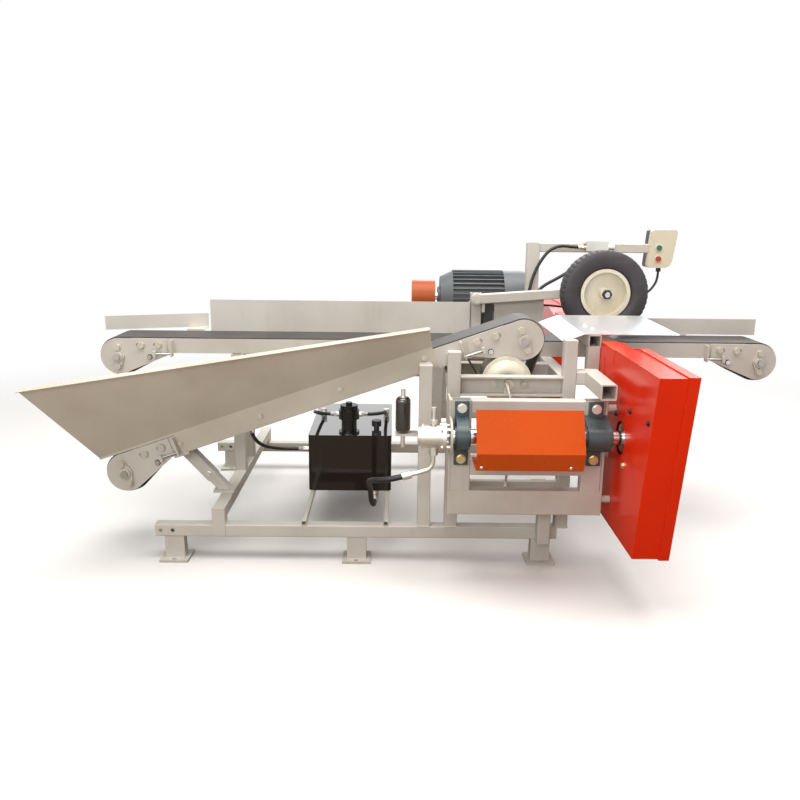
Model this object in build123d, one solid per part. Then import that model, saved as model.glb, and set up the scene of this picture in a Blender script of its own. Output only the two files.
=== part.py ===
from build123d import *
import os
from math import asin, atan2, cos, hypot, pi, sin, tan

# Horizontal band resaw: feed belt along X, band wheels turning about X, blade running across along Y.
# The origin is on the floor under the middle of the machine, +X is the feed direction, +Z is up.

# Square tube of the welded frame
tube = 51.0
tube_wall = 4.0
tube_corner = 5.0

# Fasteners, fits and sheet
bolt_d = 16.0
bolt_room = 1.0
washer_t = 2.5
running_fit = 0.05
slide_room = 0.4
cut_past = 1.0
sheet_t = 3.0

# Feed conveyor: many heights further on are given over or under the top of its belt
belt_top = 835.0
belt_w = 204.0
belt_t = 5.0
roller_r = 80.0
roller_edge = 2.0
tail_x = -1387.0
head_x = 1477.0
belt_room = 0.3
rail_gap = 2.0
rail_t = 5.0
rail_depth = 65.0
rail_start = 60.0
bed_t = 4.5
bed_start = 62.0
skid_r = 15.0
skid_at = 300.0
skid_drop = 17.0

# Return conveyor in front of the feed conveyor, with its drive drum
return_gap = 194.0
return_belt_w = 170.0
return_rail_depth = 81.0
return_rail_step = 200.0
return_tail_x = -1258.0
return_tail_under = 502.0
return_head_x = 358.0
return_head_over = 65.0
head_skid_at = 262.0
drum_back = 65.0
drum_under = 100.0
drum_r = 86.0
drum_shaft_r = 20.0
drum_neck_r = 60.0
bell_r = 100.0
bell_t = 14.0
bell_room = 5.0
dome_h = 18.0
dome_r = (30.0, 68.0, 86.0)
drum_bearing_t = 18.0
drum_bolt = 60.0
drum_ear_r = 14.0
drum_boss_r = 38.0
drum_tie_gap = 39.0
channel_t = 6.0
channel_h = 76.0

# Base frame: the long beams stand outside the return conveyor
beam_room = 98.0
beam_left = -1118.0
beam_right = 508.0
beam_z = 102.0
anchor_hole_x = (22.0, 71.0)
anchor_hole_r = 8.0
cross_x = -859.0
cross_lift = 21.0
cross_cap_t = 6.0
cross_cap_up = 6.0
foot_x = (-1042.0, -304.0, 444.0)
foot_plate = (115.0, 110.0, 10.0)
foot_web = (78.0, 46.0, 6.0)
foot_hole_r = 9.0

# Posts: centre lines along X, and the stubs that reach from them to the return rails
post_tank_x = -33.0
post_left_x = 76.0
post_right_x = 524.0
post_right_over = 78.0
post_left_over = 16.0
post_cap_t = 4.0
stub_b = 20.0
far_stub_h = 200.0

# Take-up stations at the four conveyor ends
plate_t = 6.0
plate_r = 80.0
plate_end = 216.0
plate_low = 2.0
plate_corner = 4.0
takeup_travel = 15.0
clamp_at = ((104.0, 50.0), (180.0, 52.0))
clamp_past = 9.0
spread_at = (139.0, -2.0)
spread_r = 8.0
spread_step = 2.0
lug_at = (158.0, 13.0)
lug_size = (12.0, 24.0, 26.0)
tab_at = 238.0
tab_t = 6.0
tab_reach = 36.0
tab_edge = (12.0, 4.0)
screw_r = 5.0
screw_past_tab = 4.0
shaft_r = 15.0
shaft_hole_room = 4.0
shaft_past = 38.0
bearing_bolt = 42.0
bearing_ear_r = 13.0
bearing_r = 27.0
bearing_t = 13.0
bearing_boss = 12.0
bearing_boss_step = 5.0

# Trough wall and the brace at the tail of the return conveyor
crease_b = 92.0
flange_edge = 5.0
wall_lean_angle = 35.0
wall_run = (-82.0, 1358.0)
wall_splay = 59.0
wall_left_up = 474.0
wall_right_up = 104.0
wall_lip = 15.0
trough_bolt_at = ((257.0, 44.0), (607.0, 46.0), (953.0, 48.0), (1313.0, 58.0))
trough_bolt_d = 12.0
brace_tube = 50.0
brace_wall = 3.0
brace_plate_t = 10.0
brace_run = 242.0
brace_head_l = 66.0
brace_foot_off = 14.0
brace_seat_size = (88.0, 76.0)
brace_share = (0.30, 0.42)
brace_pin_d = 12.0

# Fences beside the feed belt
fence_start = 366.0
fence_right = 196.0
fence_return = 54.0
fence_over = 146.0
fence_under = 60.0
guide_start = (113.0, 62.0)
guide_end = (334.0, 208.0)
guide_over = (6.0, 70.0)
bracket_room = 4.0
out_fence_past = 72.0
out_fence_l = 649.0
out_fence_over = 78.0
out_fence_room = 1.0
out_fence_lift = (15.0, 8.0)
spacer_w = 40.0
spacer_in = 40.0
guard_plate_x = (312.0, 544.0)
guard_plate_over = 173.0
guard_plate_room = 4.0
flap_t = 6.0
flap_room = (7.0, 4.0)
flap_over = (45.0, 150.0)

# Band wheels, shafts and blade
cut_height = 17.3
shaft_out = 225.0
wheel_reach = 117.0
wheel_r = 262.0
wheel_w = 42.0
wheel_rim = 24.0
wheel_web = 16.0
spoke_count = 6
spoke_share = 0.3
hub_r = 55.0
hub_w = 58.0
arbor_r = 27.5
arbor_past = 8.0
arbor_in_pad = 2.0
arbor_nose = (9.0, 0.5)
arbor_nut_t = 18.0
blade_w = 38.0
blade_t = 1.1
blade_gap = 0.8
blade_guide_t = 10.0
blade_guide_x = (6.0, 16.0)
blade_guide_z = (35.0, 26.0)

# Pillow blocks
block_h = 57.0
block_w = (44.0, 86.0)
block_base_t = 20.0
block_base_w = 52.0
block_bolt = 98.0
block_end = 24.0
block_left_x = 96.0
block_right_x = 594.0
block_bolt_d = 18.0
block_boss_r = 49.0
block_toe = (6.0, 66.0)
block_seal = (7.0, 11.0)

# Wheel housings, their doors and hinges, and the blade tunnels
case_left_room = 35.0
case_right_room = 90.0
case_wall = 3.0
case_over = 58.0
case_under = 104.0
case_front_room = 118.0
case_rake = 128.0
case_back_room = 18.0
case_back_over = 37.0
case_slant = 128.0
case_corner = 30.0
case_hub_room = 8.0
case_slot = (16.0, 18.0)
standoff_r = 14.0
standoff_in = 24.0
standoff_up = (60.0, 30.0, 170.0)
standoff_back = 20.0
door_lap = 32.0
door_room = 1.2
knuckle_r = 7.0
knuckle_h = 30.0
knuckle_gap = 0.3
hinge_pin_r = 3.5
hinge_leaf = 14.0
hinge_leaf_gap = 0.6
hinge_in = (110.0, 180.0)
hinge_room = 1.0
tunnel_sheet = 2.5
tunnel_over = 5.0
tunnel_room = (18.0, 16.0, 2.0, 5.0)
hood_side = (6.5, 9.0)
hood_up = 3.5
hood_back = 58.0
hood_drop = (195.0, 159.0)
apron_run = 155.0
apron_drop = (176.0, 80.0)

# Tension carriage that carries the front band wheel
upright_w = 76.0
upright_d = 50.0
upright_past = 25.0
sill_low = 262.0
sill_h = 98.0
side_plate_t = 8.0
side_plate_w = 113.0
side_plate_rise = 90.0
guide_bar = 50.0
guide_bar_short = 12.0
sleeve_wall = 6.0
sleeve_right_x = 445.0
sleeve_reach = (77.0, 95.0)
sleeve_z = 287.0
tie_h = 25.0
tension_travel = 25.0
rod_r = 14.0
rod_end_room = 5.0
barrel_r = 30.0
barrel_past = 50.0
barrel_port = (40.0, 10.0)
saddle_w = 39.0
rod_x = 290.0

# Shaft guard and hydraulic pump: heights and reach from the front shaft
guard_sheet = 2.0
guard_top = (30.0, 110.0)
guard_fold = (105.0, 35.0)
guard_foot = (85.0, 103.0)
guard_lap = 20.0
guard_end = (6.0, 26.0)
guard_bar_h = 66.0
pump_r = 42.0
pump_len = 104.0
pump_gap = 14.0
pump_stud = (6.0, 46.0)
pump_flange_r = 54.0
pump_flange_t = 14.0
pump_pad_edge = 8.0
pump_collar = (14.0, 22.0, 5.0)
pump_cap_step = 6.0
pump_port_at = 58.0
pump_port = (6.5, 56.0)
pump_port_cap = (10.0, 12.0)
pump_union = (16.0, 12.0, 8.0)
pump_inlet = (15.0, 10.0)
pump_inlet_nut = (17.0, 22.0, 30.0)
elbow_r = 9.0
elbow_bends = (38.0, 12.0)
elbow_drop = (123.0, 141.0, 148.0)
elbow_side = (54.0, 80.0)
crimp_r = 15.0
crimp_l = 34.0

# Hold-down wheel
tyre_x = 789.0
tyre_gap = 12.0
tyre_r = 193.0
tyre_w = 104.0
tyre_wall = 9.0
tyre_crown = 2.0
tyre_shoulder = ((12.0, 7.0), (5.0, 4.0))
tread_in = 12.0
bead_in = 17.0
bead_room = 2.0
hollow_drop = 5.0
rim_r = 103.0
rim_t = 7.0
rim_flange = 8.0
rim_lip = 5.0
rim_hub_r = 26.0
rim_hub_gap = 0.6
disc_r = 52.0
disc_t = 6.0
disc_in = 6.0
disc_dish = 10.0
axle_r = 12.5
axle_nut_t = (14.0, 10.0)
axle_past = (6.0, 4.0)
arm_pivot_x = 225.0
arm_pivot_over = 162.0
arm_tube = 44.0
arm_y = 98.0
arm_gap = 1.0
pivot_r = 12.0
pivot_boss_r = 26.0
pivot_post_past = 24.0
pin_head_t = 8.0
pin_past = 12.0
arm_stop_t = 12.0
arm_stop_h = 40.0

# Mast with the valve body and the push-button box on its arm
mast = 62.0
mast_off = 13.0
mast_in = 125.0
mast_over = 409.0
mast_arm = 45.0
mast_foot_t = 8.0
mast_foot_share = (1.3, 1.5)
clamp_reach = (247.0, 397.0)
box_reach = 571.0
box_w = 139.0
box_h = 187.0
box_drop = 116.0
box_d = 96.0
box_lean = 11.0
box_corner = (14.0, 42.0)
box_wall = 3.0
box_front = 6.0
cover_d = 42.0
gland_at = (4.0, 8.0)
gland_l = 22.0
gland_wall = 6.0
valve_d = 34.0
valve_rise = 14.0
valve_in = (10.0, 30.0)
valve_top_t = 8.0
valve_port_drop = 32.0
valve_nut_r = 15.0
valve_drop = (96.0, 40.0, 22.0)
port_wall = 4.0
port_cap = 7.0
port_out = 36.0
port_side = 13.0
port_h = 20.0
button_r = 13.0
button_travel = 4.0
button_room = 0.3
button_x = 50.0
button_low = 45.0
button_pitch = 54.0
button_proud = 9.0
button_back = 6.0
bezel = (5.0, 3.0)
button_lip = (4.0, 3.0)

# Drive motor and V-belt drive
motor_x = (85.0, 542.0)
motor_in = 100.0
motor_over = 111.0
motor_r = 123.0
motor_fin = 18.0
motor_room = 3.0
motor_ends = (65.0, 122.0)
motor_bell_r = (106.0, 136.0)
motor_boss = (51.0, 12.0)
motor_cowl_r = 139.0
motor_cowl_round = 18.0
motor_foot = (50.0, 35.0)
motor_seat_depth = 20.0
fin_count = 32
fin_t = 4.0
terminal_size = (120.0, 60.0, 110.0)
motor_shaft_r = 21.0
platform_t = 10.0
motor_sheave_r = 56.0
shaft_sheave_r = 80.0
sheave_edge = 6.0
sheave_lip = 4.0
sheave_past = 8.0
vbelt_t = 8.0
vbelt_w = 13.0
vbelt_x = (-28.0, -6.0)
belt_guard_left = -66.0
belt_guard_room = 19.0
shaft_pass = 6.0

# Transfer plate over the blade tunnel: X from the blade, Y from the middle, heights over the belt
transfer_back = (-158.0, 210.0, -160.0, 124.0)
transfer_front = (-101.0, 286.0, -440.0, 83.0)
wing_front = (-183.0, 51.0)
transfer_tube_gap = 56.0
transfer_tube_end = 11.0
transfer_bolt_at = ((-71.0, 0.45), (-49.0, 0.3))
transfer_bolt_d = 10.0
wedge_w = 25.5
wedge_edge = 1.0

# Receiver tube for an accessory
receiver_reach = 88.0
receiver_under = 65.0
receiver_size = 58.0
receiver_wall = 5.0
receiver_out = 273.0

# Hydraulic tank, places on it measured from its left front corner, and the accumulator
tank_left = -534.0
tank_l = 367.0
tank_front = -247.0
tank_w = 592.0
tank_h = 256.0
tank_bar = 20.0
tank_bar_wall = 2.5
tank_bar_in = 18.0
tank_wall = 4.0
tank_corner = 16.0
filter_in = (178.0, 57.0)
filter_neck_r = 34.0
filter_neck_bore = 26.0
filter_steps = (8.0, 64.0, 104.0, 126.0, 138.0)
filter_flange = 12.0
filter_cap = 5.0
filter_knob_r = 14.0
filter_port_up = 83.0
filter_port_reach = 55.0
breather_in = (299.0, 117.0)
breather_r = (12.0, 22.0)
breather_h = (14.0, 40.0)
suction_in = (294.0, 32.0)
suction_drop = 33.0
suction_reach = 47.0
suction_wall = (6.0, 8.0)
side_port_in = 47.0
side_port_up = 179.2
top_port_in = ((40.0, 357.0), (341.0, 357.0))
elbow_up = 18.0
bottle_reach = 87.0
bottle_in = 40.0
bottle_low = 529.0
bottle_h = 149.0
bottle_r = 30.0
bottle_round = 20.0
bottle_stem = (9.0, 60.0, 27.0)
shelf_t = 8.0

# Hoses and cables
hose_r = 11.0
line_r = 8.0
thin_line_r = 5.0
cable_r = 6.0
clip_run = 500.0
clip_drop = 20.0
clip_wall = 4.0
clip_lead = 30.0
hose_lead_l = 42.0
line_clip_at = (-11.0, 3.0)
line_clip_y = (18.0, 28.0, 32.0)
line_clip_size = (16.0, 13.0)
cable_end_over = 96.0

# Values worked out from the sizes above
beam_top = beam_z + tube
roller_z = belt_top - belt_t - roller_r
rail_top = belt_top - belt_t
rail_low = rail_top - rail_depth
rail_in = belt_w / 2 + rail_gap
rail_out = rail_in + rail_t
rail_b = (roller_r - rail_depth, roller_r)
return_rail_b = (roller_r - return_rail_depth, roller_r)
flange_b = return_rail_b[0] + flange_edge
upper_z = rail_low - tube / 2
return_rail_in = return_belt_w / 2 + rail_gap
return_rail_out = return_rail_in + rail_t
return_y = -(rail_out + return_gap + return_rail_out)
return_tail = (return_tail_x, belt_top - return_tail_under)
return_head = (return_head_x, belt_top + return_head_over)
return_run = hypot(return_head[0] - return_tail[0], return_head[1] - return_tail[1])
slope = atan2(return_head[1] - return_tail[1], return_head[0] - return_tail[0])
drum_x = return_head_x - drum_back
drum_z = belt_top - drum_under
beam_y = return_rail_out + beam_room - return_y
beam_outer = beam_y + tube / 2
beam_inner = beam_y - tube / 2
post_right_top = belt_top + post_right_over
fence_left = tail_x + fence_start
fence_top = belt_top + fence_over
fence_foot = belt_top - fence_under
guide_left = (tail_x - guide_start[0], guide_start[1])
guide_right = (tail_x + guide_end[0], guide_end[1])
guide_low = belt_top + guide_over[0]
guide_top = belt_top + guide_over[1]
out_fence_right = head_x + out_fence_past
out_fence_left = out_fence_right - out_fence_l
blade_z = belt_top + cut_height
shaft_y = beam_y + shaft_out
shaft_z = blade_z - belt_room - wheel_r
wheel_x = block_right_x + wheel_reach
block_face = shaft_y - block_h
case_left = wheel_x - case_left_room
case_right = wheel_x + case_right_room
case_top = belt_top + case_over
case_low = shaft_z - wheel_r - case_under
case_front = shaft_y + wheel_r + case_front_room
case_back = shaft_y - wheel_r - case_back_room
case_back_top = belt_top + case_back_over
sill_z = (sill_low, sill_low + sill_h)
sill_mid = sill_low + sill_h / 2
upright_top = shaft_z + block_bolt + upright_past
side_plate_back = block_face - side_plate_w
sleeve_front = beam_y + sleeve_reach[0]
sleeve_back = beam_y - sleeve_reach[1]
tyre_z = belt_top + tyre_gap + tyre_r
arm_pivot = (arm_pivot_x, belt_top + arm_pivot_over)
mast_x = post_right_x + mast_off
mast_y = beam_y - mast_in
mast_top = belt_top + mast_over
clamp_x = (mast_x + clamp_reach[0], mast_x + clamp_reach[1])
box_x = (mast_x + box_reach, mast_x + box_reach + box_w)
box_z = (mast_top - box_drop, mast_top - box_drop + box_h)
motor_y = shaft_y - motor_in
motor_z = belt_top + motor_over
platform_z = motor_z - motor_r - motor_fin - motor_room
platform_low = platform_z - platform_t
transfer_tube_x = wheel_x - transfer_tube_gap
receiver_x = post_right_x + receiver_reach
receiver_z = belt_top - receiver_under
receiver_front = -beam_y - receiver_out
tank_x = (tank_left, tank_left + tank_l)
tank_y = (tank_front, tank_front + tank_w)
tank_low = beam_top + tank_bar
tank_top = tank_low + tank_h


def block(x, y, z):
    size = [high - low for low, high in (x, y, z)]
    middle = [(high + low) / 2 for low, high in (x, y, z)]
    return Pos(*middle) * Box(*size)


def mid(centre, width):
    return (centre - width / 2, centre + width / 2)


def tube_run(start, end, width=tube, height=tube, up=(0, 0, 1), wall=tube_wall):
    axis = Vector(*end) - Vector(*start)
    side = Vector(*up).cross(axis)
    section = RectangleRounded(width, height, tube_corner)
    inner = max(tube_corner - wall, wall / 8)
    section -= RectangleRounded(width - 2 * wall, height - 2 * wall, inner)
    return extrude(Plane(origin=start, x_dir=side, z_dir=axis) * section, axis.length)


def post(x, y, low, high, width=tube, depth=tube):
    return tube_run((x, y, low), (x, y, high), width, depth, up=(0, 1, 0))


def rod(start, end, radius, bore=0.0):
    axis = Vector(*end) - Vector(*start)
    section = Circle(radius)
    if bore:
        section -= Circle(bore)
    return extrude(Plane(origin=start, z_dir=axis) * section, axis.length)


def rod_x_axis(x_low, x_high, y, z, radius, bore=0.0):
    return rod((x_low, y, z), (x_high, y, z), radius, bore)


def rod_y_axis(x, y_low, y_high, z, radius, bore=0.0):
    return rod((x, y_low, z), (x, y_high, z), radius, bore)


def rod_z_axis(x, y, z_low, z_high, radius, bore=0.0):
    return rod((x, y, z_low), (x, y, z_high), radius, bore)


def across(face, y_low, y_high):
    rear = Plane(origin=(0, y_high, 0), x_dir=(1, 0, 0), z_dir=(0, -1, 0))
    return extrude(rear * face, y_high - y_low)


def along(face, x_low, x_high):
    left = Plane(origin=(x_low, 0, 0), x_dir=(0, 1, 0), z_dir=(1, 0, 0))
    return extrude(left * face, x_high - x_low)


def outline(circles):
    # closed line round circles (x, y, radius, turn): turn 1 lies inside the loop, -1 outside it
    runs = []
    for i, (x0, y0, r0, t0) in enumerate(circles):
        x1, y1, r1, t1 = circles[(i + 1) % len(circles)]
        gap = hypot(x1 - x0, y1 - y0)
        angle = atan2(y1 - y0, x1 - x0) - asin((t1 * r1 - t0 * r0) / gap)
        start = (x0 + sin(angle) * t0 * r0, y0 - cos(angle) * t0 * r0)
        end = (x1 + sin(angle) * t1 * r1, y1 - cos(angle) * t1 * r1)
        runs.append((start, end, angle))
    edges = []
    for i, (start, end, angle) in enumerate(runs):
        x, y, radius, turn = circles[(i + 1) % len(circles)]
        following = runs[(i + 1) % len(runs)]
        swing = turn * ((turn * (following[2] - angle)) % (2 * pi))
        half = angle + swing / 2
        top = (x + sin(half) * turn * radius, y - cos(half) * turn * radius)
        edges.append(Line(start, end))
        edges.append(ThreePointArc(end, top, following[0]))
    return make_face(edges)


def band(circles, thickness):
    inner = [(x, y, r if t > 0 else r + thickness, t) for x, y, r, t in circles]
    outer = [(x, y, r + thickness if t > 0 else r, t) for x, y, r, t in circles]
    return outline(outer) - outline(inner)


def polygon(points):
    return make_face(Polyline(*points, close=True))


def grown(face, amount):
    return offset(face, amount, kind=Kind.INTERSECTION)


def hex_bolt(seat, out, size, reach, nut_gap=None):
    plane = Plane(origin=seat, z_dir=out)
    bolt = extrude(plane * Circle(size), washer_t)
    bolt += extrude(plane.offset(washer_t) * RegularPolygon(size * 0.9, 6), size * 0.62)
    bolt += extrude(plane * Circle(size / 2), -reach)
    if nut_gap is not None:
        bolt += extrude(plane.offset(-nut_gap) * RegularPolygon(size * 0.85, 6), -size * 0.5)
    return bolt


def save(name, *pieces):
    solids = []
    for piece in pieces:
        group = piece if isinstance(piece, (list, tuple)) else [piece]
        for shape in group:
            solids.extend(shape.solids())
    export_step(Compound(children=solids), "parts/" + name + ".step")


def moved(place, pieces):
    return [place * piece for piece in pieces]


def slope_point(run, up):
    x = return_tail[0] + run * cos(slope) - up * sin(slope)
    z = return_tail[1] + run * sin(slope) + up * cos(slope)
    return x, z


def slope_z(x, up):
    run = (x - return_tail[0] + up * sin(slope)) / cos(slope)
    return slope_point(run, up)[1]


def station(axis, y, inward):
    # place of one take-up station: local x runs inward along the belt, local z is square to it
    up = (-inward[1], inward[0]) if inward[0] > 0 else (inward[1], -inward[0])
    return Plane(
        origin=(axis[0], y, axis[1]), x_dir=(inward[0], 0, inward[1]), z_dir=(up[0], 0, up[1])
    ).location


# Take-up stations
slope_dir = (cos(slope), sin(slope))
slope_back = (-cos(slope), -sin(slope))
feed_tail_place = station((tail_x, roller_z), 0, (1, 0))
feed_head_place = station((head_x, roller_z), 0, (-1, 0))
return_tail_place = station(return_tail, return_y, slope_dir)
return_head_place = station(return_head, return_y, slope_back)


def takeup_face():
    corner_x = plate_end - plate_corner
    face = outline([
        (0, 0, plate_r, 1),
        (corner_x, plate_low + plate_corner, plate_corner, 1),
        (corner_x, plate_r - plate_corner, plate_corner, 1),
    ])
    face -= Circle(shaft_r + shaft_hole_room)
    for a, b in clamp_at:
        slot = SlotCenterToCenter(takeup_travel, bolt_d + 2 * bolt_room)
        face -= Pos(a - takeup_travel / 2, b) * slot
    for side in (-1, 1):
        face -= Pos(0, side * bearing_bolt) * Circle(bolt_d / 2 + running_fit)
    face -= Pos(*spread_at) * Circle(spread_r - spread_step + running_fit)
    return face


def takeup_plates(out):
    face = takeup_face()
    pieces = []
    for side in (-1, 1):
        inner, outer = sorted((side * out, side * (out + plate_t)))
        lug_y = sorted((side * (out + plate_t), side * (out + plate_t + lug_size[1])))
        plate = across(face, inner, outer)
        plate += block((lug_at[0], lug_at[0] + lug_size[0]), lug_y, mid(lug_at[1], lug_size[2]))
        pieces.append(plate)
        screw_y = side * (out + plate_t + lug_size[1] / 2)
        screw_tip = tab_at + tab_t + screw_past_tab
        pieces.append(rod_x_axis(lug_at[0] + lug_size[0], screw_tip, screw_y, lug_at[1], screw_r))
    pieces.append(rod_y_axis(spread_at[0], -out, out, spread_at[1], spread_r))
    for side in (-1, 1):
        seat = (spread_at[0], side * (out + plate_t), spread_at[1])
        pieces.append(hex_bolt(seat, (0, side, 0), 2 * (spread_r - spread_step), plate_t))
    return pieces


def takeup_bearings(out):
    face = outline([
        (0, bearing_bolt, bearing_ear_r, 1), (0, 0, bearing_r, 1),
        (0, -bearing_bolt, bearing_ear_r, 1), (0, 0, bearing_r, 1),
    ])
    bore = shaft_r + running_fit
    face -= Circle(bore)
    for side in (-1, 1):
        face -= Pos(0, side * bearing_bolt) * Circle(bolt_d / 2 + running_fit)
    pieces = []
    for side in (-1, 1):
        seat = side * (out + plate_t)
        top = seat + side * bearing_t
        housing = across(face, *sorted((seat, top)))
        housing += rod_y_axis(0, top, top + side * bearing_boss, 0, bearing_r - bearing_boss_step, bore)
        pieces.append(housing)
        for up in (-1, 1):
            bolt_seat = (0, top, up * bearing_bolt)
            pieces.append(hex_bolt(bolt_seat, (0, side, 0), bolt_d, bearing_t + plate_t))
    return pieces


def conveyor_roller(width, out):
    half = width / 2
    reach = out + plate_t + shaft_past
    return rod_y_axis(0, -half, half, 0, roller_r - belt_room) + rod_y_axis(0, -reach, reach, 0, shaft_r)


def rail_tabs(out):
    pieces = []
    tab_z = (rail_b[0] - tab_edge[0], rail_b[1] - tab_edge[1])
    for side in (-1, 1):
        tab = block((tab_at, tab_at + tab_t), sorted((side * out, side * (out + tab_reach))), tab_z)
        screw_y = side * (out + plate_t + lug_size[1] / 2)
        hole_x = (tab_at - cut_past, tab_at + tab_t + cut_past)
        pieces.append(tab - rod_x_axis(*hole_x, screw_y, lug_at[1], screw_r + slide_room))
    return pieces


def clamp_bolts(out):
    pieces = []
    for side in (-1, 1):
        for a, b in clamp_at:
            seat = (a, side * (out + plate_t), b)
            reach = plate_t + rail_t + clamp_past
            pieces.append(hex_bolt(seat, (0, side, 0), bolt_d, reach, plate_t + rail_t))
    return pieces


def rail_strip(length, start, b):
    return polygon([(start, b[0]), (length - start, b[0]), (length - start, b[1]), (start, b[1])])


def rails(length, inner, face):
    for a, up in clamp_at:
        for x in (a, length - a):
            face -= Pos(x, up) * Circle(bolt_d / 2 + running_fit)
    return [across(face, -inner - rail_t, -inner), across(face, inner, inner + rail_t)]


def save_takeup(name, place, width, out):
    save(name + "_takeup", moved(place, takeup_plates(out) + takeup_bearings(out)))
    save(name + "_roller", moved(place, [conveyor_roller(width, out)]))


os.makedirs("parts", exist_ok=True)

feed_run = head_x - tail_x
roller_w = belt_w - 2 * roller_edge
return_roller_w = return_belt_w - 2 * roller_edge
save_takeup("infeed", feed_tail_place, roller_w, rail_out)
save_takeup("outfeed", feed_head_place, roller_w, rail_out)
save_takeup("return_tail", return_tail_place, return_roller_w, return_rail_out)
save_takeup("return_head", return_head_place, return_roller_w, return_rail_out)

# Rails, tabs, slider beds and the bars that lift the lower strands
feed_strip = rail_strip(feed_run, rail_start, rail_b)
return_strip = rail_strip(return_run, rail_start, rail_b)
return_strip += rail_strip(return_run, return_rail_step, return_rail_b)
feed_rails = moved(feed_tail_place, rails(feed_run, rail_in, feed_strip))
return_rails = moved(return_tail_place, rails(return_run, return_rail_in, return_strip))
feed_tabs = moved(feed_tail_place, rail_tabs(rail_out)) + moved(feed_head_place, rail_tabs(rail_out))
return_tabs = moved(return_tail_place, rail_tabs(return_rail_out))
return_tabs += moved(return_head_place, rail_tabs(return_rail_out))
save("conveyor_rails", feed_rails, feed_tabs)
clip_b = return_rail_b[0] - clip_drop
clip_y = return_rail_in + rail_t / 2
hose_clip = return_tail_place * rod_z_axis(clip_run, clip_y, clip_b, return_rail_b[0], line_r + clip_wall)
save("return_rails", return_rails, return_tabs, hose_clip)

bed_b = (roller_r - belt_room - bed_t, roller_r - belt_room)
feed_bed = block((bed_start, feed_run - bed_start), (-rail_in, rail_in), bed_b)
return_bed = block((bed_start, return_run - bed_start), (-return_rail_in, return_rail_in), bed_b)
skid_b = roller_r - bed_t - skid_drop - belt_t - skid_r


def skid_bars(places, half):
    return [rod_y_axis(x, -half, half, skid_b, skid_r - belt_room) for x in places]


feed_slides = [feed_bed] + skid_bars((skid_at, feed_run - skid_at), rail_in)
return_slides = [return_bed] + skid_bars((skid_at, return_run - head_skid_at), return_rail_in)
save("slider_beds", moved(feed_tail_place, feed_slides), moved(return_tail_place, return_slides))

# Belts: the spare circle beside each roller leaves the lower strand clear of the take-up travel
feed_loop = [
    (0, 0, roller_r, 1),
    (takeup_travel, 0, roller_r, 1),
    (skid_at, skid_b, skid_r, -1),
    (feed_run - skid_at, skid_b, skid_r, -1),
    (feed_run - takeup_travel, 0, roller_r, 1),
    (feed_run, 0, roller_r, 1),
]
drum_dx = drum_x - return_tail[0]
drum_dz = drum_z - return_tail[1]
drum_at = (
    drum_dx * cos(slope) + drum_dz * sin(slope),
    drum_dz * cos(slope) - drum_dx * sin(slope),
)
return_loop = [
    (0, 0, roller_r, 1),
    (takeup_travel, 0, roller_r, 1),
    (skid_at, skid_b, skid_r, -1),
    (return_run - head_skid_at, skid_b, skid_r, -1),
    (drum_at[0], drum_at[1], drum_r, 1),
    (return_run, 0, roller_r, 1),
]
feed_belt = across(band(feed_loop, belt_t), -belt_w / 2, belt_w / 2)
return_belt = across(band(return_loop, belt_t), -return_belt_w / 2, return_belt_w / 2)
save("feed_belt", moved(feed_tail_place, [feed_belt]))
save("return_belt", moved(return_tail_place, [return_belt]))

# Drive drum of the return belt, with its domed end bell in front of the take-up plates
bell_y = return_y - return_rail_out - plate_t - bell_room
channel_web = -beam_inner
tie_y = return_y + return_rail_out + plate_t + drum_tie_gap
tie_face = tie_y - tube / 2
drum_half = return_roller_w / 2
bell_back = bell_y - return_y
bell_front = bell_back - bell_t
dome_front = bell_front - dome_h
bell_profile = make_face([
    Line((0, bell_back), (bell_r, bell_back)),
    Line((bell_r, bell_back), (bell_r, bell_front)),
    Line((bell_r, bell_front), (dome_r[2], bell_front)),
    ThreePointArc((dome_r[2], bell_front), (dome_r[1], bell_front - dome_h * 0.8), (dome_r[0], dome_front)),
    Line((dome_r[0], dome_front), (0, dome_front)),
    Line((0, dome_front), (0, bell_back)),
])
drum = rod_y_axis(0, -drum_half, drum_half, 0, drum_r - belt_room) + revolve(bell_profile, Axis.Y)
drum += rod_y_axis(0, bell_back, -drum_half, 0, drum_neck_r)
drum = Pos(drum_x, return_y, drum_z) * drum
drum += rod_y_axis(drum_x, channel_web - 2 * channel_t, tie_face, drum_z, drum_shaft_r)
save("drive_drum", drum)

# Drum bearings, and the channel between the two front posts that carries one of them
drum_flange = outline([
    (-drum_bolt, 0, drum_ear_r, 1), (0, 0, drum_boss_r, 1),
    (drum_bolt, 0, drum_ear_r, 1), (0, 0, drum_boss_r, 1),
])
drum_flange -= Circle(drum_shaft_r + running_fit)
for side in (-1, 1):
    drum_flange -= Pos(side * drum_bolt, 0) * Circle(bolt_d / 2 + running_fit)
drum_flange = Pos(drum_x, drum_z) * drum_flange
front_flange = across(drum_flange, channel_web, channel_web + drum_bearing_t)
rear_flange = across(drum_flange, tie_face - drum_bearing_t, tie_face)
channel_x = (post_left_x + tube / 2, post_right_x - tube / 2)
channel_z = mid(drum_z, channel_h)
channel_front = channel_web - tube
channel_seat = channel_web - channel_t
channel = block(channel_x, (channel_seat, channel_web), channel_z)
for low in (channel_z[0], channel_z[1] - channel_t):
    channel += block(channel_x, (channel_front, channel_web), (low, low + channel_t))
web_cut = (channel_front, channel_web + cut_past)
channel -= rod_y_axis(drum_x, *web_cut, drum_z, drum_shaft_r + bolt_room)
drum_bolts = []
for side in (-1, 1):
    bolt_x = drum_x + side * drum_bolt
    channel -= rod_y_axis(bolt_x, *web_cut, drum_z, bolt_d / 2 + running_fit)
    reach = channel_t + drum_bearing_t
    drum_bolts.append(hex_bolt((bolt_x, channel_seat, drum_z), (0, -1, 0), bolt_d, reach))

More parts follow.
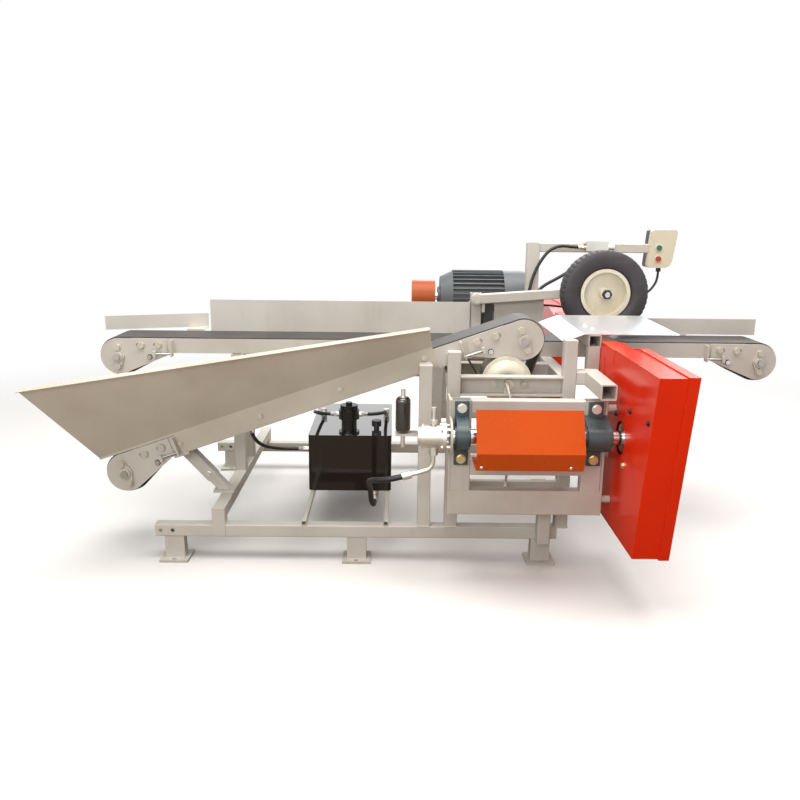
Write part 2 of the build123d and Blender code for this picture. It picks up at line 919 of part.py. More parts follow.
# Small post on the channel that holds the upper end of the tension line
line_y = [channel_web - step for step in line_clip_y]
line_top = (drum_x + line_clip_at[0], line_y[2], drum_z + line_clip_at[1])
line_post_z = (channel_z[0] + channel_t, drum_z + line_clip_size[1])
line_post = block(mid(line_top[0], line_clip_size[0]), (line_y[1], line_y[0]), line_post_z)
line_post += rod_y_axis(line_top[0], line_y[1], line_y[2], line_top[2], thin_line_r + clip_wall)
save("drum_channel", channel, front_flange, rear_flange, drum_bolts, line_post)

# Base frame: two long beams, one cross tube and the bars under the tank
beams = []
for side in (-1, 1):
    beam_mid = beam_z + tube / 2
    beam = tube_run((beam_left, side * beam_y, beam_mid), (beam_right, side * beam_y, beam_mid))
    for step in anchor_hole_x:
        hole_y = mid(side * beam_y, 2 * tube)
        beam -= rod_y_axis(beam_left + step, *hole_y, beam_mid, anchor_hole_r)
    beams.append(beam)
cross_z = beam_top + cross_lift + tube / 2
cross_top = beam_top + cross_lift + tube
cross_tubes = [tube_run((cross_x, -beam_outer, cross_z), (cross_x, beam_outer, cross_z))]
for side in (-1, 1):
    cap_y = sorted((side * beam_outer, side * (beam_outer + cross_cap_t)))
    cross_tubes.append(block(mid(cross_x, tube), cap_y, (beam_z + cross_cap_up, cross_top)))
    cross_tubes.append(post(cross_x, side * beam_y, beam_top, beam_top + cross_lift))
for bar_x in (tank_x[0] + tank_bar_in, tank_x[1] - tank_bar_in):
    bar_z = beam_top + tank_bar / 2
    bar_ends = ((bar_x, -beam_outer, bar_z), (bar_x, beam_outer, bar_z))
    cross_tubes.append(tube_run(*bar_ends, tank_bar, tank_bar, wall=tank_bar_wall))
save("base_frame", beams, cross_tubes)


def floor_foot(x, y):
    plate = block(mid(x, foot_plate[0]), mid(y, foot_plate[1]), (0, foot_plate[2]))
    web_z = (foot_plate[2], beam_z)
    web = block(mid(x, foot_web[0]), mid(y, foot_web[1]), web_z)
    web -= block(mid(x, foot_web[0] - 2 * foot_web[2]), mid(y, foot_web[1] - 2 * foot_web[2]), web_z)
    foot = plate + web
    for side in (-1, 1):
        hole_y = y + side * (foot_plate[1] + foot_web[1]) / 4
        foot -= rod_z_axis(x, hole_y, -cut_past, foot_plate[2] + cut_past, foot_hole_r)
    return foot


save("floor_feet", [floor_foot(x, side * beam_y) for x in foot_x for side in (-1, 1)])

# Posts of the front and rear sides and the legs under the infeed
stub_z = slope_z(post_left_x, stub_b)
tank_stub_z = slope_z(post_tank_x, stub_b)
posts = [
    post(post_tank_x, -beam_y, beam_top, tank_stub_z + tube / 2),
    post(post_left_x, -beam_y, beam_top, stub_z + tube / 2 + post_left_over),
    post(post_right_x, -beam_y, beam_top, post_right_top),
    post(post_left_x, beam_y, beam_top, platform_low),
    post(post_right_x, beam_y, beam_top, platform_low),
]
for side in (-1, 1):
    posts.append(post(cross_x, side * (rail_in + rail_t / 2), cross_top, rail_low))
front_tops = (
    (post_tank_x, tank_stub_z + tube / 2), (post_left_x, stub_z + tube / 2 + post_left_over),
    (post_right_x, post_right_top),
)
for x, top in front_tops:
    posts.append(block(mid(x, tube), mid(-beam_y, tube), (top, top + post_cap_t)))

# Upper tubes: cross tubes under the feed rails, drum tie, pivot tie, stubs to the return rails
pivot_face = arm_y + arm_tube / 2 + arm_gap
pivot_y = pivot_face + tube / 2
near_rail_y = return_y - return_rail_out
far_rail_y = return_y + return_rail_in + rail_t / 2
upper = []
for x in (post_left_x, post_right_x):
    upper.append(tube_run((x, -beam_inner, upper_z), (x, beam_inner, upper_z)))
for y in (tie_y, pivot_y):
    upper.append(tube_run((channel_x[0], y, upper_z), (channel_x[1], y, upper_z)))
tank_stub_end = near_rail_y - sheet_t
upper.append(tube_run((post_left_x, -beam_inner, stub_z), (post_left_x, near_rail_y, stub_z)))
upper.append(tube_run((post_tank_x, -beam_inner, tank_stub_z), (post_tank_x, tank_stub_end, tank_stub_z)))
over_rail = return_tail_place * block((0, return_run), (0, beam_y), (return_rail_b[0], 4 * rail_depth))
upper.append(post(post_left_x, far_rail_y, rail_low, rail_low + far_stub_h) - over_rail)
pivot_post = post(arm_pivot[0], pivot_y, rail_low, arm_pivot[1] + pivot_post_past)
upper.append(pivot_post - rod_y_axis(arm_pivot[0], 0, 2 * pivot_y, arm_pivot[1], pivot_r + running_fit))

# Bracket, post and tube under the transfer plate, and the accessory receiver
transfer_y = (transfer_front[2], transfer_back[2])
transfer_z = (belt_top + transfer_front[3], belt_top + transfer_back[3])
transfer_tube_z = transfer_z[0] - sheet_t - wedge_edge - tube / 2
transfer_post_y = transfer_y[0] + tube / 2
transfer_end = -rail_out - transfer_tube_end
post_side = post_right_x + tube / 2
bracket_end = transfer_tube_x + tube / 2
upper.append(tube_run((post_side, transfer_post_y, upper_z), (bracket_end, transfer_post_y, upper_z)))
upper.append(post(transfer_tube_x, transfer_post_y, rail_low, transfer_tube_z - tube / 2))
tube_ends = [(transfer_tube_x, y, transfer_tube_z) for y in (transfer_y[0], transfer_end)]
upper.append(tube_run(*tube_ends))
receiver_side = receiver_x - receiver_size / 2
upper.append(tube_run((post_side, -beam_y, receiver_z), (receiver_side, -beam_y, receiver_z)))
receiver_ends = [(receiver_x, y, receiver_z) for y in (receiver_front, -beam_inner)]
receiver = tube_run(*receiver_ends, receiver_size, receiver_size, wall=receiver_wall)

# Stop under the hold-down arm, on the pivot post
stop_at = (arm_pivot[0] + tube / 2, arm_pivot[0] + tube / 2 + arm_stop_t)
arm_slope = atan2(tyre_z - arm_pivot[1], tyre_x - arm_pivot[0])
arm_under = arm_pivot[1] + (stop_at[0] - arm_pivot[0]) * tan(arm_slope) - arm_tube / 2 / cos(arm_slope)
stop_y = (arm_y - arm_tube / 4, pivot_y + tube / 2)
upper.append(block(stop_at, stop_y, (arm_under - arm_stop_h, arm_under - slide_room)))
save("upper_tubes", upper)
save("receiver_tube", receiver)

# Guides of the tension carriage: two sleeves, their tie, a leg and the tension cylinder
sleeve = guide_bar + 2 * (sleeve_wall + slide_room)
sleeve_centres = (post_left_x + tube / 2 + sleeve / 2, sleeve_right_x)
sleeve_y = (-sleeve_front, -sleeve_back)
tie_low = sleeve_z + sleeve / 2
guides = []
for x in sleeve_centres:
    sleeve_ends = [(x, y, sleeve_z) for y in sleeve_y]
    guides.append(tube_run(*sleeve_ends, sleeve, sleeve, wall=sleeve_wall))
guides.append(block(channel_x, mid(-beam_y, tie_h), (tie_low, tie_low + tie_h)))
guides.append(post(sleeve_right_x, -beam_outer - tube / 2, beam_z, sleeve_z - sleeve / 2))
barrel_y = (sleeve_y[0], sleeve_y[1] - barrel_past)
rod_back = -beam_y
line_port = (rod_x, barrel_y[0] + barrel_port[0], sleeve_z + barrel_r + barrel_port[1])
barrel = rod_y_axis(rod_x, *barrel_y, sleeve_z, barrel_r)
barrel += rod_z_axis(rod_x, line_port[1], sleeve_z, line_port[2], thin_line_r + clip_wall)
bore_y = (barrel_y[0] - cut_past, rod_back + tension_travel + rod_end_room)
guides.append(barrel - rod_y_axis(rod_x, *bore_y, sleeve_z, rod_r + running_fit))
saddle = block(mid(rod_x, saddle_w), mid(-beam_y, tie_h), (sleeve_z, tie_low))
guides.append(saddle - barrel)
save("tension_guides", guides)

# Tension carriage: sill, uprights, bars, side plates, guide bars and the tension rod
carriage_y = -block_face + upright_d / 2
carriage_back = -block_face + upright_d
carriage_x = (block_left_x - upright_w / 2, block_right_x + upright_w / 2)
bar_x = (block_left_x + upright_w / 2, block_right_x - upright_w / 2)
pad_x = (carriage_x[0] - side_plate_t, carriage_x[0])
pump_face = pad_x[0] - pump_gap
mount_x = (carriage_x[1], carriage_x[1] + side_plate_t)
guard_foot_z = shaft_z - guard_foot[1]


def bearing_stand(side, top):
    # sill and two uprights that carry the pillow blocks of one band wheel shaft
    y = side * (block_face - upright_d / 2)
    sill_ends = [(x, y, sill_mid) for x in carriage_x]
    pieces = [tube_run(*sill_ends, upright_d, sill_h)]
    for x in (block_left_x, block_right_x):
        pieces.append(post(x, y, sill_z[1], top, upright_w, upright_d))
    return pieces


def side_plate(side):
    reach = side * block_face
    back = side * side_plate_back
    return polygon([
        (reach, sill_z[0]), (side * (block_face - upright_d), sill_z[0]), (back, sill_z[0] + side_plate_rise),
        (back, upright_top), (reach, upright_top),
    ])


carriage = bearing_stand(-1, upright_top)
for top, height in ((upright_top, upright_d), (guard_foot_z, guard_bar_h)):
    bar_ends = [(x, carriage_y, top - height / 2) for x in bar_x]
    carriage.append(tube_run(*bar_ends, upright_d, height))
carriage.append(along(side_plate(-1), *pad_x))
carriage.append(along(side_plate(-1), *mount_x))
pump_pad_r = pump_flange_r + pump_pad_edge
pump_pad = Pos(-shaft_y, shaft_z) * Circle(pump_pad_r)
pump_pad += polygon([
    (-shaft_y, shaft_z - pump_pad_r), (-block_face, shaft_z - pump_pad_r),
    (-block_face, shaft_z + pump_pad_r), (-shaft_y, shaft_z + pump_pad_r),
])
pump_pad &= polygon([
    (-shaft_y - pump_pad_r, shaft_z - pump_pad_r), (-block_face, shaft_z - pump_pad_r),
    (-block_face, shaft_z + pump_pad_r), (-shaft_y - pump_pad_r, shaft_z + pump_pad_r),
])
pump_pad -= Pos(-shaft_y, shaft_z) * Circle(arbor_r + sheet_t)
carriage.append(along(pump_pad, *pad_x))
for x in sleeve_centres:
    bar_ends = [(x, y, sleeve_z) for y in (carriage_back, sleeve_y[1] - guide_bar_short)]
    carriage.append(tube_run(*bar_ends, guide_bar, guide_bar))
carriage.append(rod_y_axis(rod_x, carriage_back, rod_back, sleeve_z, rod_r))
save("carriage_frame", carriage)

# Drive frame behind: the same stand fixed to the rear posts, with the motor platform on top
drive_frame = bearing_stand(1, platform_low)
for x in (post_left_x, post_right_x):
    drive_frame.append(tube_run((x, beam_outer, sill_mid), (x, -carriage_back, sill_mid)))
drive_frame.append(along(side_plate(1), *mount_x))
platform_y = (beam_inner, motor_y + motor_r + motor_fin)
drive_frame.append(block(carriage_x, platform_y, (platform_low, platform_z)))
save("drive_frame", drive_frame)


# Pillow blocks: base on the upright, axis along X, outward along +Y
def pillow_block(width):
    toe_y = block_toe[0] - block_h
    body = outline([
        (toe_y, -block_toe[1], block_toe[0], 1),
        (0, 0, block_boss_r, 1),
        (toe_y, block_toe[1], block_toe[0], 1),
    ])
    body -= Circle(arbor_r + running_fit)
    base_y = (-block_h, block_base_t - block_h)
    half = block_bolt + block_end
    housing = block(mid(0, block_base_w), base_y, (-half, half)) + along(body, *mid(0, width))
    for end in (-1, 1):
        seal_x = (end * width / 2, end * (width / 2 + block_seal[0]))
        housing += rod_x_axis(*seal_x, 0, 0, arbor_r + block_seal[1], arbor_r + running_fit)
    pieces = []
    for up in (-1, 1):
        seat = (0, base_y[1], up * block_bolt)
        hole_y = (base_y[0] - cut_past, base_y[1] + cut_past)
        housing -= rod_y_axis(0, *hole_y, seat[2], block_bolt_d / 2 + running_fit)
        pieces.append(hex_bolt(seat, (0, 1, 0), block_bolt_d, block_base_t))
    return [housing] + pieces


def shaft_place(side, x):
    turn = Rot(0, 0, 180) if side < 0 else Rot(0, 0, 0)
    return Pos(x, side * shaft_y, shaft_z) * turn


for name, side in (("front", -1), ("rear", 1)):
    blocks = []
    for x, width in zip((block_left_x, block_right_x), block_w):
        blocks += [shaft_place(side, x) * piece for piece in pillow_block(width)]
    save(name + "_pillow_blocks", blocks)

# Band wheels on their shafts: half of the wheel's section, mirrored in its middle plane
half_section = [
    (0, arbor_r + running_fit), (hub_w / 2, arbor_r + running_fit), (hub_w / 2, hub_r), (wheel_web / 2, hub_r),
    (wheel_web / 2, wheel_r - wheel_rim), (wheel_w / 2, wheel_r - wheel_rim), (wheel_w / 2, wheel_r),
    (0, wheel_r),
]
wheel_section = half_section + [(-x, r) for x, r in half_section[-2:0:-1]]
band_wheel = revolve(polygon(wheel_section), Axis.X)
spoke_hole_r = (wheel_r - wheel_rim - hub_r) * spoke_share
spoke_ring = (wheel_r - wheel_rim + hub_r) / 2
for step in range(spoke_count):
    angle = step * 2 * pi / spoke_count
    centre = (spoke_ring * cos(angle), spoke_ring * sin(angle))
    band_wheel -= rod_x_axis(-wheel_w, wheel_w, *centre, spoke_hole_r)

sheave_x = (vbelt_x[0] - sheave_edge, vbelt_x[1] + vbelt_w + sheave_edge)
arbor_end = wheel_x + hub_w / 2 + arbor_past
arbor_start = {"front": pad_x[0] + arbor_in_pad, "rear": sheave_x[0] - sheave_past}


def sheave(radius, bore, y, z):
    body = rod_x_axis(*sheave_x, y, z, radius - belt_room, bore + running_fit)
    for edge in (sheave_x[0], sheave_x[1] - sheave_lip):
        body += rod_x_axis(edge, edge + sheave_lip, y, z, radius + vbelt_t, bore + running_fit)
    return body


for name, side in (("front", -1), ("rear", 1)):
    end = (arbor_end, side * shaft_y, shaft_z)
    arbor = rod_x_axis(arbor_start[name], arbor_end, side * shaft_y, shaft_z, arbor_r)
    arbor += extrude(Plane(origin=end, z_dir=(1, 0, 0)) * RegularPolygon(arbor_r * 1.35, 6), arbor_nut_t)
    if name == "front":
        arbor += rod_x_axis(pump_face + arbor_nose[1], arbor_start[name], -shaft_y, shaft_z, arbor_nose[0])
    turning = [Pos(wheel_x, side * shaft_y, shaft_z) * band_wheel, arbor]
    if name == "rear":
        turning.append(sheave(shaft_sheave_r, arbor_r, shaft_y, shaft_z))
    save(name + "_band_wheel", turning)

# Blade and the guides on each side of the feed belt
blade_edge = mid(wheel_x, blade_w)
blade_loop = [(side * shaft_y, shaft_z, wheel_r + belt_room, 1) for side in (-1, 1)]
blade = along(band(blade_loop, blade_t), *blade_edge)
# The blade in its two strands and its two half turns round the wheels
loop_r = wheel_r + belt_room + blade_t + cut_past
loop_x = (blade_edge[0] - cut_past, blade_edge[1] + cut_past)
loop_z = (shaft_z - loop_r, shaft_z + loop_r)
strand_y = (-shaft_y, shaft_y)
blade_parts = [blade & block(loop_x, strand_y, span) for span in ((shaft_z, loop_z[1]), (loop_z[0], shaft_z))]
for side in (-1, 1):
    turn_y = sorted((side * shaft_y, side * (shaft_y + loop_r)))
    blade_parts.append(blade & block(loop_x, turn_y, loop_z))
print("blade volume", round(blade.volume), "in parts", round(sum(part.volume for part in blade_parts)))
save("band_blade", blade_parts)
guide_x = (blade_edge[0] + blade_guide_x[0], blade_edge[1] + blade_guide_x[1])
guide_z = (belt_top - blade_guide_z[0], blade_z + blade_guide_z[1])
slot_z = (blade_z - blade_gap, blade_z + blade_t + blade_gap)
blade_guides = []
for side in (-1, 1):
    guide_y = sorted((side * rail_out, side * (rail_out + blade_guide_t)))
    slot_y = (guide_y[0] - cut_past, guide_y[1] + cut_past)
    guide = block(guide_x, guide_y, guide_z)
    blade_guides.append(guide - block((guide_x[0] - cut_past, blade_edge[1] + 2 * blade_gap), slot_y, slot_z))
save("blade_guides", blade_guides)


# Wheel housings with their doors
def case_outline(side):
    points = [
        (case_front, case_top), (case_front - case_rake, case_low), (case_back + case_corner, case_low),
        (case_back, case_low + case_corner), (case_back, case_back_top), (case_back + case_slant, case_top),
    ]
    return polygon([(side * y, z) for y, z in points])


hinge_z = (case_low + hinge_in[0], case_back_top - hinge_in[1])
hinge_x = case_right - door_lap
door_skin = door_room + case_wall
hinge_y = case_back - door_skin - knuckle_r - hinge_room
standoff_at = (
    (block_face - standoff_in, sill_z[0] + standoff_up[0]),
    (block_face - standoff_in, upright_top - standoff_up[1]),
    (side_plate_back + standoff_back, sill_mid + standoff_up[2]),
)


def hinge_part(side, low, x_low, x_high, wall_y):
    axis = side * hinge_y
    leaf = block((x_low, x_high), sorted((axis, side * wall_y)), (low, low + knuckle_h))
    part = leaf + rod_z_axis(hinge_x, axis, low, low + knuckle_h, knuckle_r)
    bore_z = (low - cut_past, low + knuckle_h + cut_past)
    return part - rod_z_axis(hinge_x, axis, *bore_z, hinge_pin_r + running_fit)


def wheel_case(side):
    face = case_outline(side)
    shell = along(face, case_left, case_right)
    shell -= along(grown(face, -case_wall), case_left + case_wall, case_right + cut_past)
    hub_x = (case_left - cut_past, case_left + case_wall + cut_past)
    shell -= rod_x_axis(*hub_x, side * shaft_y, shaft_z, hub_r + case_hub_room)
    slot_y = mid(side * case_back, case_slot[1] * 2)
    for z in (blade_z, 2 * shaft_z - blade_z):
        shell -= block(mid(wheel_x, blade_w + case_slot[0]), slot_y, mid(z, case_slot[1]))
    for low in hinge_z:
        shell += hinge_part(side, low, hinge_x - hinge_leaf, hinge_x - hinge_leaf_gap, case_back)
    pieces = [shell]
    for y, z in standoff_at:
        pieces.append(rod_x_axis(mount_x[1], case_left, side * y, z, standoff_r))
    for low in hinge_z:
        pieces.append(rod_z_axis(hinge_x, side * hinge_y, low, low + 2 * knuckle_h, hinge_pin_r))
    return pieces


def wheel_door(side):
    face = case_outline(side)
    door = along(grown(face, door_skin), case_right - door_lap, case_right + door_skin)
    door -= along(grown(face, door_room), case_right - door_lap - cut_past, case_right + door_room)
    for low in hinge_z:
        base = low + knuckle_h + knuckle_gap
        door += hinge_part(side, base, hinge_x, hinge_x + knuckle_r, case_back - door_skin)
    return door


# Hood of the front housing, which slides over the front blade tunnel
tunnel_x = (transfer_tube_x + tube / 2, blade_edge[1] + tunnel_room[0])
tunnel_z = (belt_top + tunnel_over, case_back_top + tunnel_room[1])
hood_x = (tunnel_x[0] - hood_side[0], tunnel_x[1] + hood_side[1])
hood_y = (-case_back - case_slant, -case_back + hood_back)
hood_top = tunnel_z[1] + hood_up
hood_in = (hood_x[0] + tunnel_sheet, hood_x[1] - tunnel_sheet)
hood = block(hood_x, hood_y, (tunnel_z[0], hood_top))
hood_cut = (hood_y[0] - cut_past, hood_y[1] + cut_past)
hood -= block(hood_in, hood_cut, (tunnel_z[0] - cut_past, hood_top - tunnel_sheet))
hood -= along(case_outline(-1), case_left, case_right)
hood += along(polygon([
    (-case_back, tunnel_z[0]), (-case_back, tunnel_z[0] - hood_drop[0]), (hood_y[1], tunnel_z[0] - hood_drop[1]),
    (hood_y[1], tunnel_z[0]),
]), hood_x[0], hood_in[0])

for name, side, extra in (("front", -1, [hood]), ("rear", 1, [])):
    save(name + "_wheel_case", wheel_case(side) + extra)
    save(name + "_case_door", wheel_door(side))

# Blade tunnels between the housings and the feed belt
inner_x = (tunnel_x[0] + tunnel_sheet, tunnel_x[1] - tunnel_sheet)
inner_z = (tunnel_z[0] - cut_past, tunnel_z[1] - tunnel_sheet)
tunnels = []
for side, reach in ((-1, case_back - tension_travel - tunnel_room[3]), (1, case_back)):
    tunnel_y = sorted((side * (rail_out + blade_guide_t + tunnel_room[2]), side * reach))
    inner_y = (tunnel_y[0] - cut_past, tunnel_y[1] + cut_past)
    tunnels.append(block(tunnel_x, tunnel_y, tunnel_z) - block(inner_x, inner_y, inner_z))
apron_y = (tunnel_room[3] + tension_travel - case_back, tunnel_room[3] + tension_travel - case_back + apron_run)
tunnels[0] += along(polygon([
    (apron_y[0], tunnel_z[0]), (apron_y[0], tunnel_z[0] - apron_drop[0]), (apron_y[1], tunnel_z[0] - apron_drop[1]),
    (apron_y[1], tunnel_z[0]),
]), tunnel_x[0], inner_x[0])
save("blade_tunnels", tunnels)

# Shaft guard: one folded sheet on the lower carriage bar, open at the top
guard_seat = -block_face + guard_lap
guard_low = guard_foot_z + guard_sheet
guard_top_z = shaft_z + guard_top[1]
guard_x = (bar_x[0] + guard_end[0], bar_x[1] - guard_end[1])
guard_room = polygon([
    (guard_seat, guard_top_z), (-shaft_y - guard_top[0], guard_top_z),
    (-shaft_y - guard_fold[0], shaft_z - guard_fold[1]), (-shaft_y - guard_foot[0], guard_low),
    (guard_seat, guard_low),
])
guard_shell = along(grown(guard_room, guard_sheet) - guard_room, *guard_x)
back_y = (guard_seat - guard_sheet, guard_seat + 2 * guard_sheet)
guard_shell -= block(bar_x, back_y, (guard_foot_z, guard_top_z + guard_sheet))
top_y = (-shaft_y - guard_fold[0], guard_seat + 2 * guard_sheet)
save("shaft_guard", guard_shell - block(bar_x, top_y, (guard_top_z, guard_top_z + 2 * guard_sheet)))


def pipe(points, radius, radii):
    path = FilletPolyline(*points, radius=radii)
    start = Vector(*points[0])
    section = Plane(origin=points[0], z_dir=Vector(*points[1]) - start) * Circle(radius)
    return sweep(section, path=path)


# Gear pump on the left side plate, with its suction elbow
pump_x = (pump_face - pump_len, pump_face)
collar_x = [pump_x[0] + step for step in pump_collar[:2]]
flange_x = pump_x[1] - pump_flange_t
port_x = pump_x[0] + pump_port_at
pump = rod_x_axis(flange_x, pump_x[1], -shaft_y, shaft_z, pump_flange_r)
pump += rod_x_axis(collar_x[1], flange_x, -shaft_y, shaft_z, pump_r)
pump += rod_x_axis(*collar_x, -shaft_y, shaft_z, pump_r + pump_collar[2])
pump += rod_x_axis(pump_x[0], collar_x[0], -shaft_y, shaft_z, pump_r - pump_cap_step)
port_top = shaft_z + pump_r + pump_port[1]
pump += rod_z_axis(port_x, -shaft_y, shaft_z, port_top, pump_port[0])
pump += rod_z_axis(port_x, -shaft_y, port_top, port_top + pump_port_cap[1], pump_port_cap[0])
for step in range(4):
    angle = pi / 4 + step * pi / 2
    stud = (pump_stud[1] * cos(angle) - shaft_y, pump_stud[1] * sin(angle) + shaft_z)
    pump += rod_x_axis(pump_face, pad_x[0], *stud, pump_stud[0])
union_at = Plane(origin=(port_x, -shaft_y, shaft_z + pump_r + pump_union[2]))
pump += extrude(union_at * RegularPolygon(pump_union[0], 6), pump_union[1])
pump += rod_z_axis(port_x, -shaft_y, shaft_z - pump_r - pump_inlet[1], shaft_z, pump_inlet[0])
elbow_top = (port_x, -shaft_y, shaft_z - pump_r - pump_inlet_nut[2])
pump += extrude(Plane(origin=elbow_top) * RegularPolygon(pump_inlet_nut[0], 6), pump_inlet_nut[1])
elbow_path = [
    elbow_top, (port_x, -shaft_y, shaft_z - elbow_drop[0]),
    (port_x - elbow_side[0], -shaft_y, shaft_z - elbow_drop[1]),
    (port_x - elbow_side[1], -shaft_y, shaft_z - elbow_drop[2]),
]
elbow = pipe(elbow_path, elbow_r, list(elbow_bends))
elbow_dir = (Vector(*elbow_path[-1]) - Vector(*elbow_path[-2])).normalized()
crimp_end = tuple(Vector(*elbow_path[-1]) + elbow_dir * crimp_l)
save("hydraulic_pump", pump, elbow + rod(elbow_path[-1], crimp_end, crimp_r))

# Trough wall along the near return rail: a flange on the rail and a wall that leans out
lean = wall_lean_angle * pi / 180
flange_y = return_rail_out + sheet_t
crease_in = crease_b + sheet_t * tan(lean / 2)
wall_far = wall_left_up + 2 * sheet_t


def wall_point(up, depth):
    # point of the trough section: up along the wall from the crease, depth in from its outer face
    y = -flange_y - up * sin(lean) + depth * cos(lean)
    return y, crease_b + up * cos(lean) + depth * sin(lean)


trough_section = polygon([
    (-flange_y, flange_b), (-flange_y, crease_b), wall_point(wall_far, 0), wall_point(wall_far, sheet_t),
    (-return_rail_out, crease_in), (-return_rail_out, flange_b),
])
wall_plane = Plane(origin=(0, -flange_y, crease_b), x_dir=(1, 0, 0), z_dir=(0, -cos(lean), -sin(lean)))
trough_left = wall_run[0] - wall_splay
trough_right = wall_run[1] + wall_splay / 4
wall_cut = polygon([
    (wall_run[0], -wall_far), (wall_run[1], -wall_far), (wall_run[1], 0), (trough_right, wall_right_up),
    (trough_left, wall_left_up), (wall_run[0], 0),
])
edge_line = Vector(trough_right - trough_left, wall_right_up - wall_left_up).normalized()
edge_in = Vector(edge_line.Y, -edge_line.X) * sheet_t
lip_strip = polygon([
    (trough_left, wall_left_up), (trough_right, wall_right_up),
    (trough_right + edge_in.X, wall_right_up + edge_in.Y), (trough_left + edge_in.X, wall_left_up + edge_in.Y),
])
trough = along(trough_section, trough_left, trough_right)
trough &= extrude(wall_plane * wall_cut, wall_far, both=True)
trough += extrude(wall_plane * lip_strip, wall_lip)
trough -= block((trough_left, tab_at + tab_t + slide_room), (-wall_far, 0), (0, plate_r + sheet_t))
trough_bolts = []
for run, up in trough_bolt_at:
    hole_y = (-flange_y - cut_past, -return_rail_out + cut_past)
    trough -= rod_y_axis(run, *hole_y, up, trough_bolt_d / 2 + running_fit)
    trough_bolts.append(hex_bolt((run, -flange_y, up), (0, -1, 0), trough_bolt_d, sheet_t))
save("trough_wall", return_tail_place * trough)

# Telescoping brace from the cross tube to a plate under the return rails, below the lower strand
seat_top = cross_top + brace_plate_t
brace_foot_x = cross_x - brace_foot_off
brace_seat_x = mid(brace_foot_x, brace_seat_size[0])
brace_seat = block(brace_seat_x, mid(return_y, brace_seat_size[1]), (cross_top, seat_top))
brace_head_b = (return_rail_b[0] - brace_plate_t, return_rail_b[0])
brace_head = return_tail_place * block(
    mid(brace_run, brace_head_l), mid(0, 2 * (return_rail_out - slide_room)), brace_head_b
)
brace_low = Vector(brace_foot_x, return_y, seat_top)
brace_top = slope_point(brace_run, brace_head_b[0])
brace_high = Vector(brace_top[0], return_y, brace_top[1])
brace_axis = brace_high - brace_low
brace_past = brace_axis.normalized() * brace_tube
outer_low = tuple(brace_low + brace_axis * brace_share[0])
inner_top = tuple(brace_low + brace_axis * (brace_share[0] + 2 * (brace_share[1] - brace_share[0])))
inner_size = brace_tube - 2 * (brace_wall + slide_room)
brace_ends = (tuple(brace_low - brace_past), tuple(brace_high + brace_past))
brace_outer = tube_run(outer_low, brace_ends[1], brace_tube, brace_tube, up=(0, 1, 0), wall=brace_wall)
brace_inner = tube_run(brace_ends[0], inner_top, inner_size, inner_size, up=(0, 1, 0), wall=brace_wall)
brace_outer -= return_tail_place * block((0, 2 * brace_run), (-4 * tube, 4 * tube), (brace_head_b[0], 4 * tube))
brace_inner -= block(mid(brace_foot_x, 8 * tube), mid(return_y, 4 * tube), (0, seat_top))
pin_at = brace_low + brace_axis * brace_share[1]
pin_hole = rod_y_axis(pin_at.X, *mid(return_y, 2 * brace_tube), pin_at.Z, brace_pin_d / 2 + running_fit)
brace_outer -= pin_hole
brace_inner -= pin_hole
brace_pin_seat = (pin_at.X, return_y - brace_tube / 2, pin_at.Z)
brace_pin = hex_bolt(brace_pin_seat, (0, -1, 0), brace_pin_d, brace_tube + brace_pin_d / 2, brace_tube)
save("frame_posts", posts, brace_seat, brace_head, brace_outer, brace_inner, brace_pin)

# Fences beside the feed belt, each plate and flange a piece of its own
fence_y = (rail_out, rail_out + sheet_t)
fence_z = (fence_foot, fence_top)
flange_y = (rail_out, rail_out + fence_return)
fence = [
    block((fence_left, fence_right - sheet_t), fence_y, fence_z),
    block((fence_right - sheet_t, fence_right), flange_y, fence_z),
]
guide_line = Vector(guide_right[0] - guide_left[0], guide_right[1] - guide_left[1])
guide_across = Vector(-guide_line.Y, guide_line.X).normalized() * sheet_t
guide_face = polygon([
    guide_left, guide_right, (guide_right[0] + guide_across.X, guide_right[1] + guide_across.Y),
    (guide_left[0] + guide_across.X, guide_left[1] + guide_across.Y),
])
fence.append(extrude(Pos(0, 0, guide_low) * guide_face, guide_top - guide_low))
tab_past = tab_at + tab_t + screw_past_tab + bracket_room
bracket_x = (tail_x + tab_past, guide_right[0])
fence.append(block(bracket_x, fence_y, (fence_foot, guide_low - sheet_t)))
fence.append(block(bracket_x, (rail_out, guide_right[1]), (guide_low - sheet_t, guide_low)))
out_fence_y = rail_out + plate_t + out_fence_room
out_fence_step = head_x - tab_past
out_fence_z = (fence_foot + out_fence_lift[0], rail_top + out_fence_lift[1], belt_top + out_fence_over)
out_fence_face = polygon([
    (out_fence_left, out_fence_z[0]), (out_fence_step, out_fence_z[0]), (out_fence_step, out_fence_z[1]),
    (out_fence_right, out_fence_z[1]), (out_fence_right, out_fence_z[2]), (out_fence_left, out_fence_z[2]),
])
fence.append(across(out_fence_face, out_fence_y, out_fence_y + sheet_t))
plate_y = pivot_face + guard_plate_room
fence.append(block(guard_plate_x, (plate_y, plate_y + sheet_t), (fence_foot, belt_top + guard_plate_over)))
spacer_z = (out_fence_z[0], rail_top - out_fence_lift[1])
for span, reach in (((out_fence_left, out_fence_step), out_fence_y), (guard_plate_x, plate_y)):
    for x in (span[0] + spacer_in, span[1] - spacer_in):
        fence.append(block(mid(x, spacer_w), (rail_out, reach), spacer_z))
save("fences", fence)
flap_y = (plate_y + flap_room[1], plate_y + flap_room[1] + flap_t)
flap_z = (belt_top + flap_over[0], belt_top + flap_over[1])
save("rubber_flap", block((stop_at[1], guard_plate_x[0] - flap_room[0]), flap_y, flap_z))

